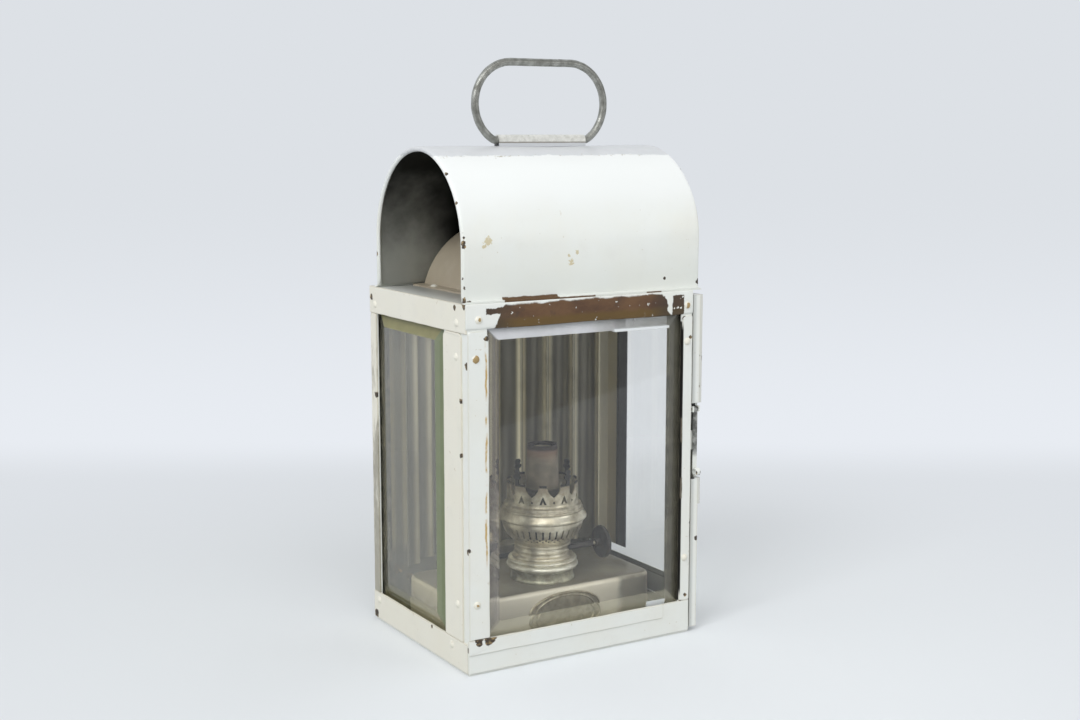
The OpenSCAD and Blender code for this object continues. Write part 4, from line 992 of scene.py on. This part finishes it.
def reflector_grid(off, levels=12):
    """Radius = R + depth * (2 * softened |cos| - 1) over the angle, then the margin, along Z."""
    ends = [math.asin(x / outer_r) for x in (sheet_low[0], sheet_high[0] - 2.5)]
    turn = np.linspace(*ends, 560)
    fold = np.sqrt(np.cos(turn * REFLECTOR_R / FLUTE_PITCH * np.pi) ** 2 + 0.004)
    radius = REFLECTOR_R + FLUTE_DEPTH * (2 * fold - 1) + off
    edge = reflector_mid + REFLECTOR_R * math.cos(turn[-1])
    x = np.concatenate([radius * np.sin(turn), np.full(8, sheet_high[0] - REFLECTOR_T + off)])
    y = np.concatenate([reflector_mid + radius * np.cos(turn), np.linspace(edge - 2, edge - MARGIN_W, 8)])
    return spread(x, y, np.linspace(sheet_low[2], sheet_high[2], levels)[:, None])

print("reflector axis at y in mm:", reflector_mid)

# %% Tin of the reflector
def fluted_tin():
    """Tin with painted highlights beside the ridges, dimmer at their tips and duller at the left, with a light flank
    and a dark margin at the right.
    """
    f = Finish("fluted_tin")
    x, y, z = f.xyz()
    deep = y - reflector_mid
    out = (x * x + deep * deep) ** 0.5 - REFLECTOR_R
    streaks = f.noise(9, 6, 0.6, f.stretched(1, 1, 0.06))
    dull_side, side = f.step(x, -20, -36), f.step(x, 60, 70)
    # Painted highlights beside the ridges, dimmer at the tips.
    ridge_highlight = f.step(out, 0.8, -0.9) * (1 - f.step(out, -0.9, -1.5) * 0.6)
    ridge_highlight = ridge_highlight * (1 - dull_side * 0.75) + f.step(out, 1.6, -1.6) * dull_side * 0.3
    margin = side * f.step(y, 13.6, 12.6)
    colour = f.coats(
        f.mix(ridge_highlight * 0.8 + streaks * 0.2, (68, 65, 56), (230, 221, 194)),
        (f.patches(0.45, 0.75, 24, 5) * 0.35, (84, 80, 70)),
        (side * f.step(y, 31, 27), f.mix(streaks, (172, 164, 140), (206, 197, 170))),
        (margin, (80, 83, 88)),
        (side * f.between(y, 11.8, 14.8, 0.6), (26, 26, 24)),
        (f.patches(0.72, 0.78, 1.4, 3, shift=1.9) * 0.5, (206, 202, 188)))
    return f.surface(Base_Color=colour, Metallic=0.85, Roughness=0.24 + streaks * 0.14 + margin * 0.15,
                     Normal=f.bump(streaks + f.noise(30, 3), 0.12, 0.4))

new_piece("reflector_sheet", shell(reflector_grid(0), reflector_grid(REFLECTOR_T)), fluted_tin(),
          ["reflector"])

# %% [markdown]
# ## Oil tank
# The tank is a low tin box with round corners, a rolled top edge and a hole for the burner. Its outline is
# carried up the sides and over the edge, and then shrinks towards the hole until it is round. The top of a
# real tank is never flat: slow waves of a fraction of a millimetre make its reflections wander.

# %% Tank
TANK_CORNER, TANK_EDGE, FOOT_EDGE, BORE_R, BORE_DEPTH = 11.7, 3.0, 1.0, 17, 3
tank_low, tank_high = box_mm("tank")
burner_at = sum(box_mm("tank_collar"))[:2] / 2


def tank_shape():
    """Rings: foot curve, side, round top edge, then the outline blends into the burner's hole."""
    (x0, y0, foot), (x1, y1, top_z) = tank_low, tank_high
    outline = evenly(rounded([(x0, y0), (x1, y0), (x1, y1), (x0, y1)], TANK_CORNER, 12), 3)
    bend = np.linspace(0, np.pi / 2, 8)
    inset = np.concatenate([FOOT_EDGE * (1 - np.sin(bend)), np.zeros(5), TANK_EDGE * (1 - np.cos(bend))])
    height = np.concatenate([foot + FOOT_EDGE * (1 - np.cos(bend)),
                             np.linspace(foot + FOOT_EDGE, top_z - TANK_EDGE, 7)[1:-1],
                             top_z - TANK_EDGE + TANK_EDGE * np.sin(bend)])
    rings = outline + inset[:, None, None] * inwards(outline)
    hole = burner_at + BORE_R * unit(rings[-1] - burner_at)
    blend = np.linspace(0, 1, 16)[1:, None, None]
    top = (1 - blend) * rings[-1] + blend * hole
    waves = -0.22 * (1 + np.sin(top[..., 0] / 13 + 1) * np.sin(top[..., 1] / 11)) * np.minimum(blend[..., 0] * 6, 1)
    flat = np.concatenate([rings, top, hole[None]])
    up = np.concatenate([np.broadcast_to(height[:, None], rings.shape[:2]), top_z + waves,
                         np.full((1, len(hole)), top_z - BORE_DEPTH)])
    return tube(np.concatenate([flat, up[..., None]], axis=2))

print("burner axis at", burner_at)

# %% Stained tin and painted light
def tank_tin():
    """Stained tin, dark at its foot, top and right end, with its front face painted lighter and a glint painted
    along
    the rolled top edge: painted light.
    """
    f = Finish("tank_tin")
    x, y, z = f.xyz()
    clouds = f.noise(22, 6, 0.6)
    stains = f.patches(0.52, 0.72, 13, 6, 0.65, shift=2.9)
    # The front face is painted lighter and a glint is painted along the top edge: painted highlights.
    face = f.step(y, tank_low[1] + 2.5, tank_low[1] + 0.5)
    bright = f.patches(0.4, 0.6, 5, 5, shift=0.6) * f.between(z, 31, 34.1, 1.2)
    colour = f.coats(
        f.mix(clouds, (206, 198, 178), (166, 158, 138)),
        (stains * 0.5, (132, 110, 80)),
        (f.step(f.ragged(z, 8, 7, 5), 12, 3) * 0.6, (86, 80, 68)),
        (f.step(z, 33.4, 34.0) * 0.8, (102, 96, 80)),
        (face * 0.55, (236, 228, 208)),
        (f.step(f.ragged(x, 8, 9, 4), 42, 48) * face * 0.75, (96, 90, 74)),
        (bright * 0.25, (210, 202, 180)),
        (f.patches(0.7, 0.77, 1.5, 3) * 0.5, BARE_DARK))
    return f.surface(Base_Color=colour, Metallic=0.5 - stains * 0.2, Roughness=0.36 + clouds * 0.2 + stains * 0.12,
                     Normal=f.bump(clouds + f.noise(2, 3) * 0.2, 0.14, 0.5))

new_piece("oil_tank", tank_shape(), tank_tin(), ["tank"])

# %% [markdown]
# ## Oval plate
# An oval plate is soldered to the front of the tank. It is left blank here, with two raised border lines.
# Rings that shrink from the rim to the middle carry the height: a dome of the sheet plus one bump per line.

# %% Oval plate
def oval_shape(rings=60, steps=144):
    """Height at share r of the half axes: a round rim, a flat field and two bumps of exp(-((r - line) /
    width)^2)."""
    low, high = box_mm("tank_plate")
    share, turn = np.linspace(1, 0, rings)[:, None], once_round(steps)
    (mid_x, _, mid_z), (half_x, _, half_z) = (low + high) / 2, (high - low) / 2
    height = 0.5 * np.minimum(1, (1 - share) * 30)
    for line, width, rise in ((0.955, 0.018, 0.48), (0.80, 0.016, 0.36)):
        height = height + rise * np.exp(-((share - line) / width) ** 2)
    points = spread(mid_x + share * half_x * np.cos(turn), mid_z + share * half_z * np.sin(turn),
                    (high[1] - low[1]) * height)
    return facing(points.reshape(-1, 3), "front", high[1]), grid_quads(rings, steps, False, True), [range(steps)]

plate_metal = patchy_metal("plate_metal", (186, 176, 150), (146, 136, 114), (108, 90, 62), 5, 0.32, 0.85)
new_piece("oval_plate", oval_shape(), plate_metal, ["tank_plate"])

# %% [markdown]
# ## Burner
# The burner is spun and stamped from thin brass with a nickel skin: rings and mouldings turned on a lathe, a
# bowl pierced for air, and a crown cut into prongs. Plain rings are outlines carried round the axis. The
# pierced pieces are two fine grids, one behind the other: the quads that fall in an opening are left out, and
# a wall is built wherever a kept quad has a missing neighbour, so each hole has its thickness.

# %% Turned rings
RING_STEPS = 96


def round_axis(radius, turn, height):
    """Points at a radius, an angle and a height round the burner's axis."""
    return spread(burner_at[0] + radius * np.cos(turn), burner_at[1] + radius * np.sin(turn), height)


def burner_ring(node, name, metal, outline):
    """Ring of an outline (radius, share of a CAD node's height) round the burner."""
    low, high = box_mm(node)
    radius, share = np.array(outline, float).T
    points = round_axis(radius, once_round(RING_STEPS)[:, None], share * (high[2] - low[2]) + low[2])
    shape = points.reshape(-1, 3), grid_quads(RING_STEPS, len(outline), True, True)
    new_piece(name, shape, metal, [node])

bright_nickel = patchy_metal("bright_nickel", (236, 232, 216), (206, 200, 180), (150, 132, 100), 9, 0.3, 0.75)
spotted = patchy_metal("spotted_nickel", (206, 202, 176), (112, 106, 86), (84, 78, 62), 11, 0.34, 0.7)
burner_ring("tank_collar", "collar_ring", spotted, [
    (17, 0), (20.5, 0), (20.5, 0.10), (19.9, 0.17), (19.7, 0.30), (19.7, 0.72), (20.0, 0.80), (20.5, 0.88),
    (20.4, 1), (17, 1)])
burner_ring("burner_screw_ring", "screw_ring", bright_nickel, [
    (17, 0), (21.4, 0), (22.3, 0.06), (22.8, 0.18), (22.8, 0.32), (22.3, 0.46), (21.0, 0.56), (20.4, 0.62),
    (20.5, 0.68), (21.4, 0.74), (21.9, 0.82), (21.7, 0.93), (21.0, 1), (17, 1)])
burner_ring("gallery_ring", "gallery_lip", nickel, [
    (25.2, 0.0), (26.6, 0.0), (27.7, 0.07), (28.2, 0.18), (28.3, 0.30), (28.0, 0.44), (27.3, 0.60), (26.6, 0.76),
    (26.1, 0.90), (26.0, 1.0), (25.1, 1.0), (25.3, 0.86), (25.9, 0.70), (26.6, 0.54), (27.1, 0.40), (27.2, 0.30),
    (26.9, 0.20), (26.0, 0.13), (25.2, 0.10)])

# %% Pierced sheet
def pierced(front, back, keep):
    """Closed sheet between two grids that go round, without the quads where keep is False."""
    number = np.arange(front[..., 0].size).reshape(front.shape[:2])
    ahead = np.roll(number, -1, 1)
    face = np.stack([number[:-1], ahead[:-1], ahead[1:], number[1:]], axis=-1)[keep]
    padded = np.pad(keep, ((1, 1), (0, 0)))
    level = np.stack([number, ahead], axis=-1)[padded[1:] != padded[:-1]]
    upright = np.stack([number[:-1], number[1:]], axis=-1)[keep != np.roll(keep, 1, 1)]
    rim = np.concatenate([level, upright])
    walls = np.stack([rim[:, 0], rim[:, 1], rim[:, 1] + number.size, rim[:, 0] + number.size], axis=1)
    quads = np.concatenate([face, face[:, ::-1] + number.size, walls])
    used, short = np.unique(quads, return_inverse=True)
    points = np.concatenate([front.reshape(-1, 3), back.reshape(-1, 3)])[used]
    return points, short.reshape(quads.shape)


def spun(node, profile, rows, columns, start=0.0, thick=0.8):
    """Two grids, thick apart, of a profile (radius, height over a CAD node's foot) round the burner, and the
    angle and that height at the middle of each quad."""
    profile = np.array(profile, float)
    along = np.concatenate([[0], np.cumsum(np.linalg.norm(np.diff(profile, axis=0), axis=1))])
    places = np.linspace(0, along[-1], rows)
    radius, up = [np.interp(places, along, column)[:, None] for column in profile.T]
    turn = start + once_round(columns)
    front, back = [round_axis(r, turn, box_mm(node)[0][2] + up) for r in (radius, radius - thick)]
    return front, back, *np.broadcast_arrays(turn + np.pi / columns, (up[1:] + up[:-1]) / 2)


def repeat(turn, count, radius, start=0.0):
    """Distance in mm from the nearest of count places round a circle."""
    pitch = 2 * np.pi / count
    return ((turn - start + pitch / 2) % pitch - pitch / 2) * radius

print("piercing helpers ready")

# %% Neck with mouldings, drilled for the winder
NECK_R, DRILL_R = 17.6, 2.0
_, shaft_y, shaft_z = sum(box_mm("winder_shaft")) / 2
neck_low, neck_high = box_mm("burner_neck")
front, back, turn, up = spun("burner_neck", [
    (19.0, 0), (19.5, 0.5), (19.5, 1.5), (18.9, 2.2), (17.8, 2.7), (17.5, 3.6), (17.6, 4.4), (18.0, 4.9),
    (18.0, 5.7), (17.5, 6.2), (17.5, 7.6), (18.0, 8.2), (18.0, 9.0), (17.6, 9.4),
    (17.8, neck_high[2] - neck_low[2])], 40, 240, 0, 0.9)
drilled = np.hypot(burner_at[1] + NECK_R * np.sin(turn) - shaft_y, neck_low[2] + up - shaft_z) < DRILL_R
keep = ~(drilled & (np.cos(turn) > 0))
new_piece("neck_moulding", pierced(front, back, keep), nickel, ["burner_neck"])

# %% Bowl with slots and dots
BOWL_SLOTS = 36
bowl_low, bowl_high = box_mm("burner_bowl")
front, back, turn, up = spun("burner_bowl", [
    (17.9, 0), (18.4, 0.6), (18.6, 1.2), (20.4, 2.8), (22.6, 5.2), (24.3, 8.0), (25.5, 11.2), (26.0, 13),
    (26.0, bowl_high[2] - bowl_low[2])], 58, 576)
slot = repeat(turn, BOWL_SLOTS, 24.3)
gap = repeat(turn, BOWL_SLOTS, 22.0, np.pi / BOWL_SLOTS)
openings = (np.abs(slot) < 0.42) & (np.abs(up - 8.6) < 2.3)
for across, height, dot_r in ((slot, 6.6, 0.85), (slot, 10.9, 0.7), (gap, 5.0, 0.66), (slot * 0.88, 3.7, 0.6)):
    openings |= np.hypot(across, up - height) < dot_r
new_piece("pierced_bowl", pierced(front, back, ~openings), nickel, ["burner_bowl"])

# %% [markdown]
# ## Crown
# The crown holds the foot of a chimney. Two steps lead up to a band that is cut into ten prongs with
# deep rounded notches between them; each prong is pierced with a small arch and each notch has a dot below
# it. Four tall fleurs, blackened by the flame, stand beside prongs.

# %% Crown with prongs and fleurs
PRONGS, PRONG_AT, FLEUR_AT = 10, math.radians(24), math.radians(14)
CROWN_R, PRONG_TOP, NOTCH_DEPTH = 22.7, 19, 7.8
crown_low, crown_high = box_mm("crown")
front, back, turn, up = spun("crown", [
    (25.7, 0), (26.0, 0.6), (25.7, 1.3), (24.9, 1.8), (24.8, 2.6), (24.9, 3.2), (24.2, 4.0), (23.2, 4.6),
    (22.7, 6.0), (CROWN_R, PRONG_TOP)], 74, 600, PRONG_AT)
below = PRONG_TOP - up
prong = np.abs(repeat(turn, PRONGS, CROWN_R, PRONG_AT))
notch = np.abs(repeat(turn, PRONGS, CROWN_R, PRONG_AT + np.pi / PRONGS))
rise = np.clip(1 - below / NOTCH_DEPTH, 0, 1)
openings = (rise > 0) & (notch < 4.7 * (1 - (1 - rise) ** 2.2))
arch = below - 7.0
tongue = (arch > 3.2) & (prong < (arch - 3.0) * 0.5)
openings |= (arch > 0) & (arch < 5.2) & (prong < 0.25 + arch * 0.42) & ~tongue
openings |= np.hypot(notch, below - 10.9) < 0.8


def fleur(turn_to):
    """Fleur bent onto the crown's curve, with its half width from a table."""
    tip = crown_low[2] + PRONG_TOP
    up = np.linspace(-9, crown_high[2] - tip, 72)[:, None]
    half = np.interp(up, [-9, -2, 0, 2.6, 3.3, 4.3, 5.2, 5.9, 6.6, 7.4, 8.2, 9.2, 10.0],
                     [1.3, 1.5, 1.5, 1.2, 2.2, 3.1, 2.9, 1.5, 1.9, 2.3, 2.1, 1.2, 0.3])
    angle = turn_to + half * np.linspace(-1, 1, 7) / CROWN_R
    return shell(*[round_axis(r, angle, tip + up) for r in (CROWN_R + 0.12, CROWN_R - 0.7)])

crown_metal = patchy_metal("crown_nickel", (196, 188, 166), (152, 142, 120), (120, 96, 62), 5, 0.28, 0.8,
                           [(91, 95, (110, 96, 78), 0.5), (96.2, 97.4, (26, 24, 22), 0.98)])
fleurs = [fleur(FLEUR_AT + quarter * np.pi / 2) for quarter in range(4)]
new_piece("pronged_crown", joined(pierced(front, back, ~openings), *fleurs), crown_metal, ["crown"])

# %% [markdown]
# ## Winder
# The winder's knob is a dished iron disc with a knurled rim: its outline is carried round the shaft, and the
# rim's radius swings with the angle.

# %% Winder knob
knob_low, knob_high = box_mm("winder_knob")
knob_r = (knob_high[2] - knob_low[2]) / 2


def knob_shape(steps=160, teeth=40):
    """Outline (radius, way along the shaft) carried round; beyond 93% of the knob's radius it swings by 2.5% with
    the teeth."""
    outline = [(0, 0), (2.4, 0), (2.6, 0.3), (2.6, 3.4), (3.4, 4.0), (8.6, 4.3), (9.9, 4.05), (knob_r, 4.5),
               (knob_r, 6.2), (9.9, 6.6), (8.9, 6.1), (5.0, 5.5), (3.4, 6.0), (3.0, 7.4), (2.3, 8.05), (0, 8.1)]
    radius, along = np.array(outline).T
    turn = once_round(steps)[:, None]
    radius = radius * (1 - 0.025 * (radius > 0.93 * knob_r) * (1 + np.cos(turn * teeth)) / 2)
    points = spread(knob_low[0] + along, shaft_y + radius * np.cos(turn), shaft_z + radius * np.sin(turn))
    return points.reshape(-1, 3), grid_quads(steps, len(outline), True, False)

new_piece("winder_disc", knob_shape(), black_iron, ["winder_knob"], "winder")
